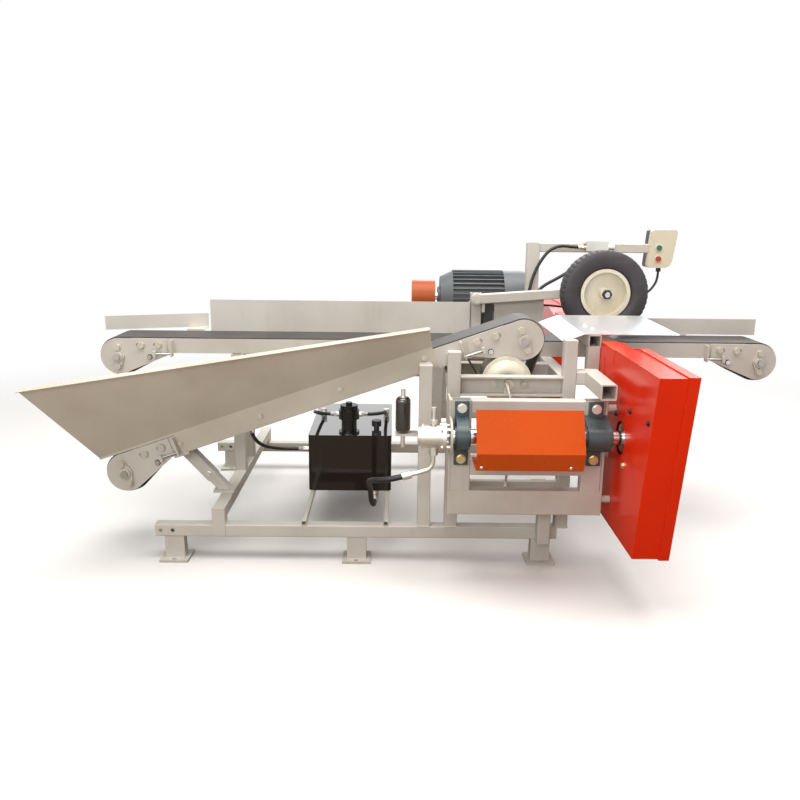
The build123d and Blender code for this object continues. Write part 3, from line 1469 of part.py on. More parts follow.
# Hold-down arm with its axle, and the pin it turns on
arm_side = (arm_y - arm_tube / 2, arm_y + arm_tube / 2)
arm_hole = (0, 2 * arm_y)
arm = tube_run((arm_pivot[0], arm_y, arm_pivot[1]), (tyre_x, arm_y, tyre_z), arm_tube, arm_tube)
for x, z in (arm_pivot, (tyre_x, tyre_z)):
    arm += rod_y_axis(x, *arm_side, z, pivot_boss_r)
arm -= rod_y_axis(arm_pivot[0], *arm_hole, arm_pivot[1], pivot_r + running_fit)
arm -= rod_y_axis(tyre_x, *arm_hole, tyre_z, axle_r + running_fit)
axle_front = -tyre_w / 2 - axle_past[0]
axle_nut = (axle_front - axle_nut_t[0], axle_front)
nut_face = Pos(tyre_x, tyre_z) * RegularPolygon(axle_r * 1.8, 6)
axle = rod_y_axis(tyre_x, axle_nut[0] - axle_past[1], arm_side[1], tyre_z, axle_r)
axle += across(nut_face, *axle_nut)
axle += across(nut_face, arm_side[1], arm_side[1] + axle_nut_t[1])
save("hold_down_arm", arm, axle)
pin_seat = arm_side[0] - arm_gap
pivot_pin = rod_y_axis(arm_pivot[0], pin_seat, pivot_y + tube / 2 + pin_past, arm_pivot[1], pivot_r)
pivot_pin += rod_y_axis(arm_pivot[0], pin_seat - pin_head_t, pin_seat, arm_pivot[1], pivot_r * 1.6)

frame_bolts = [pivot_pin] + moved(return_tail_place, trough_bolts)
stations = (
    (feed_tail_place, rail_out), (feed_head_place, rail_out),
    (return_tail_place, return_rail_out), (return_head_place, return_rail_out),
)
for place, out in stations:
    frame_bolts += moved(place, clamp_bolts(out))
save("frame_bolts", frame_bolts)

# Tyre and its rim, turned about the axle
half_bead = tyre_w / 2 - bead_in
half_tread = tyre_w / 2 - tread_in


def tyre_section(inset):
    # section of the tyre at its outer face, or of its hollow where inset is the wall
    bead = rim_r + belt_room - (hollow_drop if inset else 0)
    side = tyre_w / 2 - inset
    top = tyre_r - inset
    foot = half_bead - inset
    width = half_tread - inset
    flank = (rim_r + tyre_r) / 2
    lip = rim_r + rim_flange + bead_room
    (low, out), (high, bulge) = tyre_shoulder
    return make_face([
        Line((bead, foot), (bead, -foot)),
        Line((bead, -foot), (lip, -foot)),
        ThreePointArc((lip, -foot), (flank, -side), (top - low, -width - out)),
        ThreePointArc((top - low, -width - out), (top - high, -width - bulge), (top - tyre_crown, -width)),
        ThreePointArc((top - tyre_crown, -width), (top, 0), (top - tyre_crown, width)),
        ThreePointArc((top - tyre_crown, width), (top - high, width + bulge), (top - low, width + out)),
        ThreePointArc((top - low, width + out), (flank, side), (lip, foot)),
        Line((lip, foot), (bead, foot)),
    ])


def ring(r_low, r_high, y_low, y_high):
    return polygon([(r_low, y_low), (r_high, y_low), (r_high, y_high), (r_low, y_high)])


tyre_place = Pos(tyre_x, 0, tyre_z)
save("tyre", tyre_place * revolve(tyre_section(0) - tyre_section(tyre_wall), Axis.Y))
rim_half = half_bead + rim_hub_gap
rim_face = ring(rim_r - rim_t, rim_r, -rim_half, rim_half)
for edge in (-rim_half - rim_lip, rim_half):
    rim_face += ring(rim_r - rim_t, rim_r + rim_flange, edge, edge + rim_lip)
disc_y = (disc_in - disc_dish, disc_in - disc_dish + disc_t)
rim_face += polygon([
    (rim_hub_r / 2, disc_y[0]), (disc_r, disc_y[0]), (rim_r - rim_t / 2, disc_in),
    (rim_r - rim_t / 2, disc_in + disc_t), (disc_r, disc_y[1]), (rim_hub_r / 2, disc_y[1]),
])
hub_bore = axle_r + running_fit
rim_face += ring(hub_bore, rim_hub_r, axle_front + rim_hub_gap, arm_side[0] - rim_hub_gap)
save("tyre_rim", tyre_place * revolve(rim_face, Axis.Y))

# Push-button box on the end of the mast's arm
arm_mid = mast_top - mast_arm / 2
mast_face = mast_y - mast / 2
box_y = (mast_y - box_front - cover_d, mast_y - box_front, mast_y - box_front - cover_d + box_d)
box_mid = ((box_x[0] + box_x[1]) / 2, (box_z[0] + box_z[1]) / 2)
box_corners = [
    (box_x[0] + box_lean, box_z[1], box_corner[0]), (box_x[0], box_z[0], box_corner[0]),
    (box_x[1] - 1.5 * box_lean, box_z[0], box_corner[1]), (box_x[1], box_z[1], box_corner[0]),
]


def box_face(inset):
    # front outline of the push-button box, drawn in from its corners
    centres = []
    for x, z, r in box_corners:
        side = 1 if x < box_mid[0] else -1
        rise = -1 if z > box_mid[1] else 1
        centres.append((x + side * r, z + rise * r, r - inset, 1))
    return outline(centres)


whole_box = across(box_face(0), box_y[0], box_y[2])
box_back = across(box_face(0), box_y[1], box_y[2])
box_back -= across(box_face(box_wall), box_y[1], box_y[2] - box_wall)
box_cover = across(box_face(0), box_y[0], box_y[1])
box_cover -= across(box_face(box_wall), box_y[0] + box_wall, box_y[1])
gland_x = box_mid[0] + gland_at[0]
gland_y = mast_y + gland_at[1]
gland_low = box_z[0] - gland_l
box_back += rod_z_axis(gland_x, gland_y, gland_low, box_z[0], cable_r + gland_wall)
button_at = [(box_x[0] + button_x, box_z[0] + button_low + step * button_pitch) for step in (1, 0)]
bezel_y = (box_y[0] - bezel[1], box_y[0] + box_wall)
for x, z in button_at:
    box_cover += rod_y_axis(x, *bezel_y, z, button_r + bezel[0])
    box_cover -= rod_y_axis(x, bezel_y[0] - cut_past, bezel_y[1] + cut_past, z, button_r + button_room)
save("control_box", box_back, box_cover)
lip_y = (box_y[0] + box_wall + button_room, box_y[0] + box_wall + button_room + button_lip[1])
for name, (x, z) in zip(("start_button", "stop_button"), button_at):
    button = rod_y_axis(x, box_y[0] - button_proud, box_y[0] + box_wall + button_back, z, button_r)
    save(name, button + rod_y_axis(x, *lip_y, z, button_r + button_lip[0]))

# Mast with its foot and arm, the valve body on the arm and the hose ports on the cross tube
mast_foot_z = (rail_low, rail_low + mast_foot_t)
foot_x_span = mid(mast_x, mast_foot_share[0] * mast)
foot_y_span = mid(mast_y, mast_foot_share[1] * mast)
mast_arm_ends = [(x, mast_y, arm_mid) for x in (mast_x + mast / 2, box_x[0] + box_lean)]
mast_pieces = [
    block(foot_x_span, foot_y_span, mast_foot_z),
    post(mast_x, mast_y, mast_foot_z[1], mast_top, mast, mast),
    tube_run(*mast_arm_ends, mast_arm, mast_arm) - whole_box,
]
valve_y = (mast_y - mast_arm / 2 - valve_d, mast_y - mast_arm / 2)
valve_z = (arm_mid - valve_rise, mast_top + valve_rise)
valve_x = (clamp_x[0] + valve_in[0], clamp_x[1] - valve_in[1])
valve_mid = ((valve_y[0] + valve_y[1]) / 2, valve_z[1] - valve_port_drop)
valve_body = block(valve_x, valve_y, valve_z)
top_y = (valve_y[0], valve_y[1] + 0.6 * mast_arm)
valve_body += block((clamp_x[0], valve_x[1] + box_wall), top_y, (mast_top, mast_top + valve_top_t))
valve_body += rod_x_axis(valve_x[1], clamp_x[1], *valve_mid, valve_nut_r)
valve_body += rod_x_axis(clamp_x[0], valve_x[0], *valve_mid, line_r + port_wall)
port_down = (clamp_x[0] + valve_drop[0], valve_mid[0], valve_z[0] - valve_drop[1])
port_base = port_down[2] - line_r - port_cap
valve_body += rod_z_axis(*port_down[:2], port_base, valve_z[0], line_r + port_cap - cut_past)
valve_port = (port_down[0] - valve_drop[2], port_down[1], port_down[2])
valve_body += rod(valve_port, port_down, line_r + port_wall)
mast_pieces.append(valve_body)
port_y = mast_face - port_out
hose_ports = (post_right_x - port_side, post_right_x + port_side)
port_top = rail_low + port_h
for x in hose_ports:
    mast_pieces.append(rod_z_axis(x, port_y, rail_low, port_top, line_r + port_wall))
save("mast", mast_pieces)


def turned(points):
    # solid of revolution about the motor's axis: points are (x, radius) from left to right
    section = polygon([(points[0][0], 0), *points, (points[-1][0], 0)])
    return Pos(0, motor_y, motor_z) * revolve(section, Axis.X)


# Drive motor: finned body, tapered end bell, rounded fan cowl, feet and terminal box
fin_x = (motor_x[0] + motor_ends[0], motor_x[1] - motor_ends[1])
motor = rod_x_axis(*fin_x, motor_y, motor_z, motor_r)
fin = block(fin_x, mid(0, fin_t), (motor_r - fin_t, motor_r + motor_fin))
for step in range(fin_count):
    motor += Pos(0, motor_y, motor_z) * Rot(step * 360 / fin_count, 0, 0) * fin
motor += turned([(motor_x[0], motor_bell_r[0]), (fin_x[0], motor_bell_r[1])])
motor += rod_x_axis(motor_x[0] - motor_boss[1], motor_x[0], motor_y, motor_z, motor_boss[0])
cowl = rod_x_axis(fin_x[1], motor_x[1], motor_y, motor_z, motor_cowl_r)
motor += fillet(cowl.edges().group_by(Axis.X)[-1], motor_cowl_round)
shaft_hole = (motor_x[0] - motor_boss[1] - cut_past, fin_x[0] + motor_seat_depth)
motor -= rod_x_axis(*shaft_hole, motor_y, motor_z, motor_shaft_r + running_fit)
for x in (fin_x[0] + motor_foot[1], fin_x[1] - motor_foot[1]):
    foot_span = mid(x, motor_foot[0])
    foot = block(foot_span, mid(motor_y, 2 * motor_r), (platform_z, motor_z - motor_r / 2))
    motor += foot - rod_x_axis(*mid(x, 2 * motor_foot[0]), motor_y, motor_z, motor_r - fin_t)
terminal_y = (motor_y + motor_r - fin_t, motor_y + motor_r + terminal_size[1])
motor += block(mid((fin_x[0] + fin_x[1]) / 2, terminal_size[0]), terminal_y, mid(motor_z, terminal_size[2]))
save("drive_motor", motor)

# Rotor with the small sheave, the V-belts and their guard
rotor_x = (sheave_x[0] - sheave_edge, fin_x[0] + motor_seat_depth / 2)
rotor = rod_x_axis(*rotor_x, motor_y, motor_z, motor_shaft_r)
save("motor_rotor", rotor, sheave(motor_sheave_r, motor_shaft_r, motor_y, motor_z))
belt_path = [(motor_y, motor_z, motor_sheave_r, 1), (shaft_y, shaft_z, shaft_sheave_r, 1)]
save("drive_belts", [along(band(belt_path, vbelt_t), x, x + vbelt_w) for x in vbelt_x])


def guard_outline(extra):
    reach = vbelt_t + belt_guard_room + extra
    return outline([(y, z, r + reach, 1) for y, z, r, turn in belt_path])


guard_right = carriage_x[0]
belt_guard = along(guard_outline(guard_sheet), belt_guard_left, guard_right)
belt_guard -= along(guard_outline(0), belt_guard_left + guard_sheet, guard_right - guard_sheet)
for y, z, r in ((motor_y, motor_z, motor_shaft_r), (shaft_y, shaft_z, arbor_r)):
    hole_x = (guard_right - 2 * guard_sheet, guard_right + cut_past)
    belt_guard -= rod_x_axis(*hole_x, y, z, r + shaft_pass)
save("belt_guard", belt_guard)

# Transfer plate with its bent wing, on a wedge over the transfer tube
plate_tilt = atan2(transfer_z[1] - transfer_z[0], transfer_y[1] - transfer_y[0])
corner_d, corner_c = [Vector(wheel_x + x, transfer_y[0], transfer_z[0]) for x in transfer_front[:2]]
corner_a, corner_b = [Vector(wheel_x + x, transfer_y[1], transfer_z[1]) for x in transfer_back[:2]]
wing_front_at = Vector(wheel_x + wing_front[0], transfer_y[0], belt_top + wing_front[1])
wing_back_at = wing_front_at + corner_a - corner_d


def sheet(corners):
    face = Face(Wire.make_polygon(corners, close=True))
    down = face.normal_at() if face.normal_at().Z < 0 else -face.normal_at()
    return extrude(face, sheet_t, dir=down)


def under_plate(y):
    rise = (y - transfer_y[0]) * tan(plate_tilt)
    return transfer_z[0] + rise - sheet_t / cos(plate_tilt)


transfer = sheet([corner_d, corner_c, corner_b, corner_a])
transfer += sheet([corner_d, corner_a, wing_back_at, wing_front_at])
tube_top = transfer_tube_z + tube / 2
wedge = polygon([
    (transfer_y[0], tube_top), (transfer_y[1], tube_top),
    (transfer_y[1], under_plate(transfer_y[1])), (transfer_y[0], under_plate(transfer_y[0])),
])
transfer += along(wedge, *mid(transfer_tube_x, wedge_w))
plate_up = (0, -sin(plate_tilt), cos(plate_tilt))
plate_rise = (corner_a - corner_d).project_to_plane(Plane.YZ)
transfer_bolts = []
for x, share in transfer_bolt_at:
    seat = Vector(wheel_x + x, transfer_y[0], transfer_z[0]) + plate_rise * share
    hole_end = seat - Vector(*plate_up) * 2 * sheet_t
    transfer -= rod(tuple(seat), tuple(hole_end), transfer_bolt_d / 2 + running_fit)
    transfer_bolts.append(hex_bolt(tuple(seat), plate_up, transfer_bolt_d, sheet_t))
save("transfer_plate", transfer, transfer_bolts)

# Hydraulic tank with its breather, suction elbow and ports
filter_x = tank_x[0] + filter_in[0]
filter_y = tank_y[0] + filter_in[1]
tank = block(tank_x, tank_y, (tank_low, tank_top))
tank = fillet(tank.edges().filter_by(Axis.Z), tank_corner)
room_x = (tank_x[0] + tank_wall, tank_x[1] - tank_wall)
room_y = (tank_y[0] + tank_wall, tank_y[1] - tank_wall)
tank_room = block(room_x, room_y, (tank_low + tank_wall, tank_top - tank_wall))
tank -= fillet(tank_room.edges().filter_by(Axis.Z), tank_corner - tank_wall)
tank -= rod_z_axis(filter_x, filter_y, tank_top - 2 * tank_wall, tank_top + cut_past, filter_neck_bore)
breather_at = (tank_x[0] + breather_in[0], tank_y[0] + breather_in[1])
breather_z = (tank_top, tank_top + breather_h[0], tank_top + breather_h[1])
breather = rod_z_axis(*breather_at, breather_z[0], breather_z[1], breather_r[0])
breather += rod_z_axis(*breather_at, breather_z[1], breather_z[2], breather_r[1])
suction_at = (tank_x[0] + suction_in[0], tank_y[0] + suction_in[1])
suction_z = tank_low - suction_drop
suction_end = (suction_at[0], suction_at[1] - suction_reach, suction_z)
suction = rod_z_axis(*suction_at, suction_z - hose_r - suction_wall[1], tank_low, hose_r + suction_wall[0])
suction += rod((*suction_at, suction_z), suction_end, hose_r + port_wall)
side_port = (tank_x[0], tank_y[0] + side_port_in, tank_low + side_port_up)
tank_port = rod_x_axis(side_port[0] - port_h, *side_port, line_r + port_wall)
top_ports = [(tank_x[0] + x, tank_y[0] + y) for x, y in top_port_in]
elbow_z = tank_top + elbow_up
port_stubs = []
for x, y in top_ports:
    stub = rod_z_axis(x, y, tank_top, elbow_z + line_r + port_cap, line_r + port_cap - cut_past)
    port_stubs.append(stub + rod_y_axis(x, y - port_h, y, elbow_z, line_r + port_wall))
save("oil_tank", tank, breather, suction, tank_port, port_stubs)

# Return filter on the tank: a stack of turned steps with a port on each side
filter_z = [tank_top] + [tank_top + step for step in filter_steps]
wide_r = filter_neck_r + filter_flange
filter_r = (wide_r, filter_neck_r, wide_r, filter_neck_r + filter_cap, filter_knob_r)
return_filter = rod_z_axis(filter_x, filter_y, filter_z[0], filter_z[1], filter_r[0])
for low, high, radius in zip(filter_z[1:], filter_z[2:], filter_r[1:]):
    return_filter += rod_z_axis(filter_x, filter_y, low, high, radius)
filter_port_z = tank_top + filter_port_up
filter_ports = (filter_x - filter_port_reach, filter_x + filter_port_reach)
return_filter += rod_x_axis(*filter_ports, filter_y, filter_port_z, line_r + port_wall)
save("return_filter", return_filter)

# Accumulator on its shelf
bottle_x = post_tank_x - bottle_reach
bottle_y = -beam_y + bottle_in
bottle_z = (bottle_low, bottle_low + bottle_h)
shelf_x = (bottle_x - bottle_r, post_tank_x - tube / 2)
shelf_z = (bottle_low - shelf_t, bottle_low)
bottle_shelf = block(shelf_x, (bottle_y - bottle_r, bottle_y + bottle_r), shelf_z)
shelf_cut = (shelf_z[0] - cut_past, shelf_z[1] + cut_past)
bottle_shelf -= rod_z_axis(bottle_x, bottle_y, *shelf_cut, bottle_stem[0] + running_fit)
bottle = rod_z_axis(bottle_x, bottle_y, *bottle_z, bottle_r)
bottle = fillet(bottle.edges().filter_by(GeomType.CIRCLE), bottle_round)
stem_z = (bottle_z[0] - bottle_stem[1], bottle_z[1] + bottle_stem[2])
bottle += rod_z_axis(bottle_x, bottle_y, *stem_z, bottle_stem[0])
save("accumulator", bottle, bottle_shelf)


# Hoses and cables: straight runs joined by tangent arcs
def cord(name, points, radius):
    runs = [Vector(*b) - Vector(*a) for a, b in zip(points, points[1:])]
    radii = []
    for before, after in zip(runs, runs[1:]):
        half_turn = before.get_angle(after) * pi / 360
        radii.append(0.45 * min(before.length, after.length) / tan(half_turn))
    print(name, "bend radii", [round(r) for r in radii])
    return pipe(points, radius, radii)


hose_lead = tuple(Vector(*crimp_end) + elbow_dir * hose_lead_l)
pump_line = [
    crimp_end, hose_lead, (-202, -794, 413), (-232, -764, 402), (-248, -725, 387), (-252, -678, 366),
    (-252, -628, 338), (-250, -578, 306), (-249, -530, 269), (-249, -485, 231), (-248, -437, 195),
    (-244, -390, 165), (-241, -343, 146), (suction_at[0], suction_end[1] - 38, suction_z), suction_end,
]
save("pump_hose", cord("pump_hose", pump_line, hose_r))

clip_x, clip_z = slope_point(clip_run, clip_b)
clip_lead_x, clip_lead_z = slope_point(clip_run, clip_b - clip_lead)
tank_line = [
    (side_port[0] - port_h, *side_port[1:]), (-592, *side_port[1:]), (-628, -207, 354),
    (-662, -223, 360), (-694, -247, 371), (-720, -270, 384), (-742, -289, 402), (-757, -301, 424),
    (clip_lead_x, far_rail_y, clip_lead_z), (clip_x, far_rail_y, clip_z),
]
left_line = [
    (filter_ports[0], filter_y, filter_port_z), (-446, filter_y, filter_port_z), (-479, -177, 511),
    (-504, -152, 509), (-516, -119, 503), (-517, -82, 494), (-513, -42, 481), (-507, -2, 467), (-500, 34, 454),
    (top_ports[0][0], 62, elbow_z), (top_ports[0][0], top_ports[0][1] - port_h, elbow_z),
]
right_line = [
    (filter_ports[1], filter_y, filter_port_z), (-266, filter_y, filter_port_z), (-233, -177, 511),
    (-208, -152, 509), (-196, -119, 503), (-194, -82, 494), (-196, -42, 481), (-196, -2, 467), (-194, 34, 454),
    (top_ports[1][0], 62, elbow_z), (top_ports[1][0], top_ports[1][1] - port_h, elbow_z),
]
tank_lines = [cord("tank_hose", tank_line, line_r)]
tank_lines += [cord("filter_hose", line, line_r) for line in (left_line, right_line)]
save("tank_hoses", tank_lines)

arch_line = [
    (hose_ports[0], port_y, port_top), (hose_ports[0], port_y, 840), (512, 396, 900), (514, 400, 965),
    (522, 403, 1030), (538, 406, 1090), (564, 409, 1146), (598, 412, 1196), (632, 415, 1222), (677, 418, 1234),
    (733, *valve_mid), (clamp_x[0], *valve_mid),
]
arm_line = [
    (hose_ports[1], port_y, port_top), (hose_ports[1], port_y, 840), (537.5, 395, 893), (540, 399, 940),
    (548, 402, 982), (569, 405, 1016), (604, 407, 1043), (650, 409, 1067), (700, 412, 1096), (742, 415, 1128),
    (780, 418, 1152), (818, *valve_port[1:]), valve_port,
]
save("mast_hoses", [cord("mast_hose", line, line_r) for line in (arch_line, arm_line)])

cable_end_z = belt_top + cable_end_over
cable_line = [
    (gland_x, gland_y, gland_low), (gland_x, gland_y, 1070), (1166, 467, 1034), (1138, 466, 1002),
    (1096, 464, 976), (1044, 463, 956), (988, 462, 940), (930, 461, 929), (870, 460, 922), (810, 460, 919),
    (750, 460, 920), (692, 460, 924), (634, mast_y, cable_end_z), (mast_x + mast / 2, mast_y, cable_end_z),
]
save("control_cable", cord("control_cable", cable_line, cable_r))

tension_line = [
    line_top, (line_top[0], -615, line_top[2]), (283, -638, 730), (286, -655, 713), (291, -664, 691),
    (299, -665, 652), (305, -662, 605), (308, -656, 550), (307, -649, 495), (303, -642, 445), (297, -632, 402),
    (line_port[0], line_port[1], line_port[2] + 42), line_port,
]
save("tension_line", cord("tension_line", tension_line, thin_line_r))
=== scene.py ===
import bmesh
import bpy
import numpy as np
from math import radians
from mathutils import Matrix, Vector


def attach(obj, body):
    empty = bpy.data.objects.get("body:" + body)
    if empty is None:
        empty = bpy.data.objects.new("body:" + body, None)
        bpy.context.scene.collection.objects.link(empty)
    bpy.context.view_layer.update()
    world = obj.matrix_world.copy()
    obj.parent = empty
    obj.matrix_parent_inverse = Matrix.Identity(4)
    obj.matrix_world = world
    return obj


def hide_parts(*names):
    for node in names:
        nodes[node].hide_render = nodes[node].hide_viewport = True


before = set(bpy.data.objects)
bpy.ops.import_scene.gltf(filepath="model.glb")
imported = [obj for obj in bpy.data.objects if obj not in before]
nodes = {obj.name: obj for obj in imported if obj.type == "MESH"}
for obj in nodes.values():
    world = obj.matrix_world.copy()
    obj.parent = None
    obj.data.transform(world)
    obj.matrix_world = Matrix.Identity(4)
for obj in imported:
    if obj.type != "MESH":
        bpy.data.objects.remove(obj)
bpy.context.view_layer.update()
scene = bpy.context.scene
mm = 0.001
print("frame loaded:", len(nodes), "nodes")

# camera fitted to the long edges of the frame
cameraSet = {
    "place": (-0.156, -3.640, 1.400),
    "pitch": 13.4,
    "yaw": 0.43,
    "roll": 0.63,
    "lens": 36.0,
    "sensor": 36.0,
}


def makeCamera(values):
    pitch, yaw, roll = (radians(values[k]) for k in ("pitch", "yaw", "roll"))
    ahead = Vector((np.sin(yaw) * np.cos(pitch), np.cos(yaw) * np.cos(pitch), -np.sin(pitch)))
    right = Vector((np.cos(yaw), -np.sin(yaw), 0.0))
    up = right.cross(ahead)
    side = right * np.cos(roll) + up * np.sin(roll)
    top = up * np.cos(roll) - right * np.sin(roll)
    data = bpy.data.cameras.new("photoCamera")
    data.lens = values["lens"]
    data.sensor_width = values["sensor"]
    data.clip_end = 60.0
    camera = bpy.data.objects.new("photoCamera", data)
    turn = Matrix((side, top, -ahead)).transposed()
    camera.matrix_world = Matrix.Translation(values["place"]) @ turn.to_4x4()
    scene.collection.objects.link(camera)
    scene.camera = camera


makeCamera(cameraSet)
scene.view_settings.view_transform = "Standard"
print("camera set")


# small helpers for shader trees
def newNode(tree, kind, at=(0, 0), **settings):
    node = tree.nodes.new(kind)
    node.location = at
    for name, value in settings.items():
        setattr(node, name, value)
    return node


def put(tree, target, value):
    if isinstance(value, bpy.types.NodeSocket):
        tree.links.new(value, target)
    else:
        target.default_value = value


def math(tree, operation, a, b=0.0, clamp=False):
    node = newNode(tree, "ShaderNodeMath", operation=operation, use_clamp=clamp)
    put(tree, node.inputs[0], a)
    put(tree, node.inputs[1], b)
    return node.outputs[0]


def blendColour(tree, share, a, b, how="MIX"):
    node = newNode(tree, "ShaderNodeMix", data_type="RGBA", blend_type=how)
    put(tree, node.inputs["Factor"], share)
    put(tree, node.inputs[6], a)
    put(tree, node.inputs[7], b)
    return node.outputs[2]


def noise(tree, vector, scale, detail=4.0, rough=0.55):
    node = newNode(tree, "ShaderNodeTexNoise")
    put(tree, node.inputs["Vector"], vector)
    node.inputs["Scale"].default_value = scale
    node.inputs["Detail"].default_value = detail
    node.inputs["Roughness"].default_value = rough
    return node.outputs["Fac"]


def stretched(tree, vector, scale):
    node = newNode(tree, "ShaderNodeMapping")
    put(tree, node.inputs["Vector"], vector)
    node.inputs["Scale"].default_value = scale
    return node.outputs["Vector"]


def window(tree, value, low, high):
    node = newNode(tree, "ShaderNodeMapRange", interpolation_type="SMOOTHSTEP")
    put(tree, node.inputs["Value"], value)
    node.inputs["From Min"].default_value = low
    node.inputs["From Max"].default_value = high
    return node.outputs["Result"]


def newGroup(name, inputs, outputs):
    group = bpy.data.node_groups.new(name, "ShaderNodeTree")
    for socket, kind, value in inputs:
        made = group.interface.new_socket(name=socket, in_out="INPUT", socket_type=kind)
        made.default_value = value
    for socket, kind in outputs:
        group.interface.new_socket(name=socket, in_out="OUTPUT", socket_type=kind)
    start = newNode(group, "NodeGroupInput", (-900, 0))
    end = newNode(group, "NodeGroupOutput", (900, 0))
    return group, start.outputs, end.inputs


colour = "NodeSocketColor"
number = "NodeSocketFloat"
surfaceOut = [("Color", colour), ("Roughness", number), ("Height", number)]


def objectSpace(tree):
    return newNode(tree, "ShaderNodeTexCoord", (-900, 300)).outputs["Object"]


def makeAgedPaint():
    # sprayed paint: slow mottling, dust specks, faint runs down the face, rubbed edges, fine orange peel
    tree, given, result = newGroup("agedPaint", [
        ("Tint", colour, (0.6, 0.6, 0.6, 1)), ("Dust", colour, (0.5, 0.45, 0.38, 1)),
        ("Rubbed", colour, (0.8, 0.8, 0.78, 1)), ("Gloss", number, 0.4), ("Mottle", number, 0.08),
        ("Grime", number, 0.3), ("Wear", number, 0.4), ("Peel", number, 0.2),
    ], surfaceOut)
    place = objectSpace(tree)
    slow = noise(tree, place, 2.3, 5.0)
    patch = noise(tree, place, 9.0, 6.0, 0.6)
    speck = noise(tree, place, 260.0, 3.0, 0.7)
    runs = noise(tree, stretched(tree, place, (34.0, 34.0, 1.6)), 1.0, 4.0)
    darker = blendColour(tree, 1.0, given["Tint"], (0.80, 0.78, 0.74, 1), "MULTIPLY")
    tone = math(tree, "MULTIPLY", window(tree, slow, 0.35, 0.68), given["Mottle"])
    body = blendColour(tree, tone, given["Tint"], darker)
    film = math(tree, "MULTIPLY", window(tree, runs, 0.50, 0.80), window(tree, patch, 0.42, 0.70))
    film = math(tree, "ADD", film, math(tree, "MULTIPLY", window(tree, speck, 0.66, 0.78), 0.35))
    film = math(tree, "MULTIPLY", film, given["Grime"], True)
    dusted = blendColour(tree, film, body, given["Dust"])
    edge = newNode(tree, "ShaderNodeBevel", samples=4)
    edge.inputs["Radius"].default_value = 0.003
    flat = newNode(tree, "ShaderNodeNewGeometry").outputs["Normal"]
    facing = newNode(tree, "ShaderNodeVectorMath", operation="DOT_PRODUCT")
    put(tree, facing.inputs[0], edge.outputs["Normal"])
    put(tree, facing.inputs[1], flat)
    lip = window(tree, facing.outputs["Value"], 0.985, 0.86)
    chips = math(tree, "MULTIPLY", lip, window(tree, noise(tree, place, 55.0, 5.0, 0.65), 0.44, 0.60))
    chips = math(tree, "MULTIPLY", chips, given["Wear"], True)
    put(tree, result["Color"], blendColour(tree, chips, dusted, given["Rubbed"]))
    rough = math(tree, "ADD", given["Gloss"], math(tree, "MULTIPLY", film, 0.35))
    rough = math(tree, "ADD", rough, math(tree, "MULTIPLY", math(tree, "SUBTRACT", patch, 0.5), 0.16))
    put(tree, result["Roughness"], math(tree, "MAXIMUM", rough, 0.04, True))
    peel = math(tree, "MULTIPLY", noise(tree, place, 420.0, 2.0), given["Peel"])
    peel = math(tree, "ADD", peel, math(tree, "MULTIPLY", film, 0.25))
    put(tree, result["Height"], math(tree, "SUBTRACT", peel, math(tree, "MULTIPLY", chips, 0.6)))
    return tree


def makeWorkedMetal():
    # machined or rolled metal: fine lines along one axis, clouded oxide, small nicks
    tree, given, result = newGroup("workedMetal", [
        ("Tint", colour, (0.6, 0.6, 0.6, 1)), ("Oxide", colour, (0.30, 0.26, 0.22, 1)),
        ("Gloss", number, 0.3), ("Lines", number, 0.2), ("Age", number, 0.3),
    ], surfaceOut)
    place = objectSpace(tree)
    fine = noise(tree, stretched(tree, place, (900.0, 14.0, 900.0)), 1.0, 3.0, 0.6)
    cloud = noise(tree, place, 16.0, 6.0, 0.62)
    nick = noise(tree, place, 190.0, 3.0, 0.6)
    stain = math(tree, "MULTIPLY", window(tree, cloud, 0.46, 0.74), given["Age"], True)
    shade = math(tree, "MULTIPLY", window(tree, fine, 0.3, 0.7), math(tree, "MULTIPLY", given["Lines"], 0.6))
    deep = blendColour(tree, 1.0, given["Tint"], (0.66, 0.66, 0.67, 1), "MULTIPLY")
    lined = blendColour(tree, shade, given["Tint"], deep)
    put(tree, result["Color"], blendColour(tree, stain, lined, given["Oxide"]))
    rough = math(tree, "ADD", given["Gloss"], math(tree, "MULTIPLY", stain, 0.4))
    rough = math(tree, "ADD", rough, math(tree, "MULTIPLY", math(tree, "SUBTRACT", fine, 0.5), given["Lines"]))
    put(tree, result["Roughness"], math(tree, "MAXIMUM", rough, 0.05, True))
    height = math(tree, "MULTIPLY", fine, given["Lines"])
    dents = math(tree, "MULTIPLY", window(tree, nick, 0.7, 0.8), -0.3)
    put(tree, result["Height"], math(tree, "ADD", height, dents))
    return tree


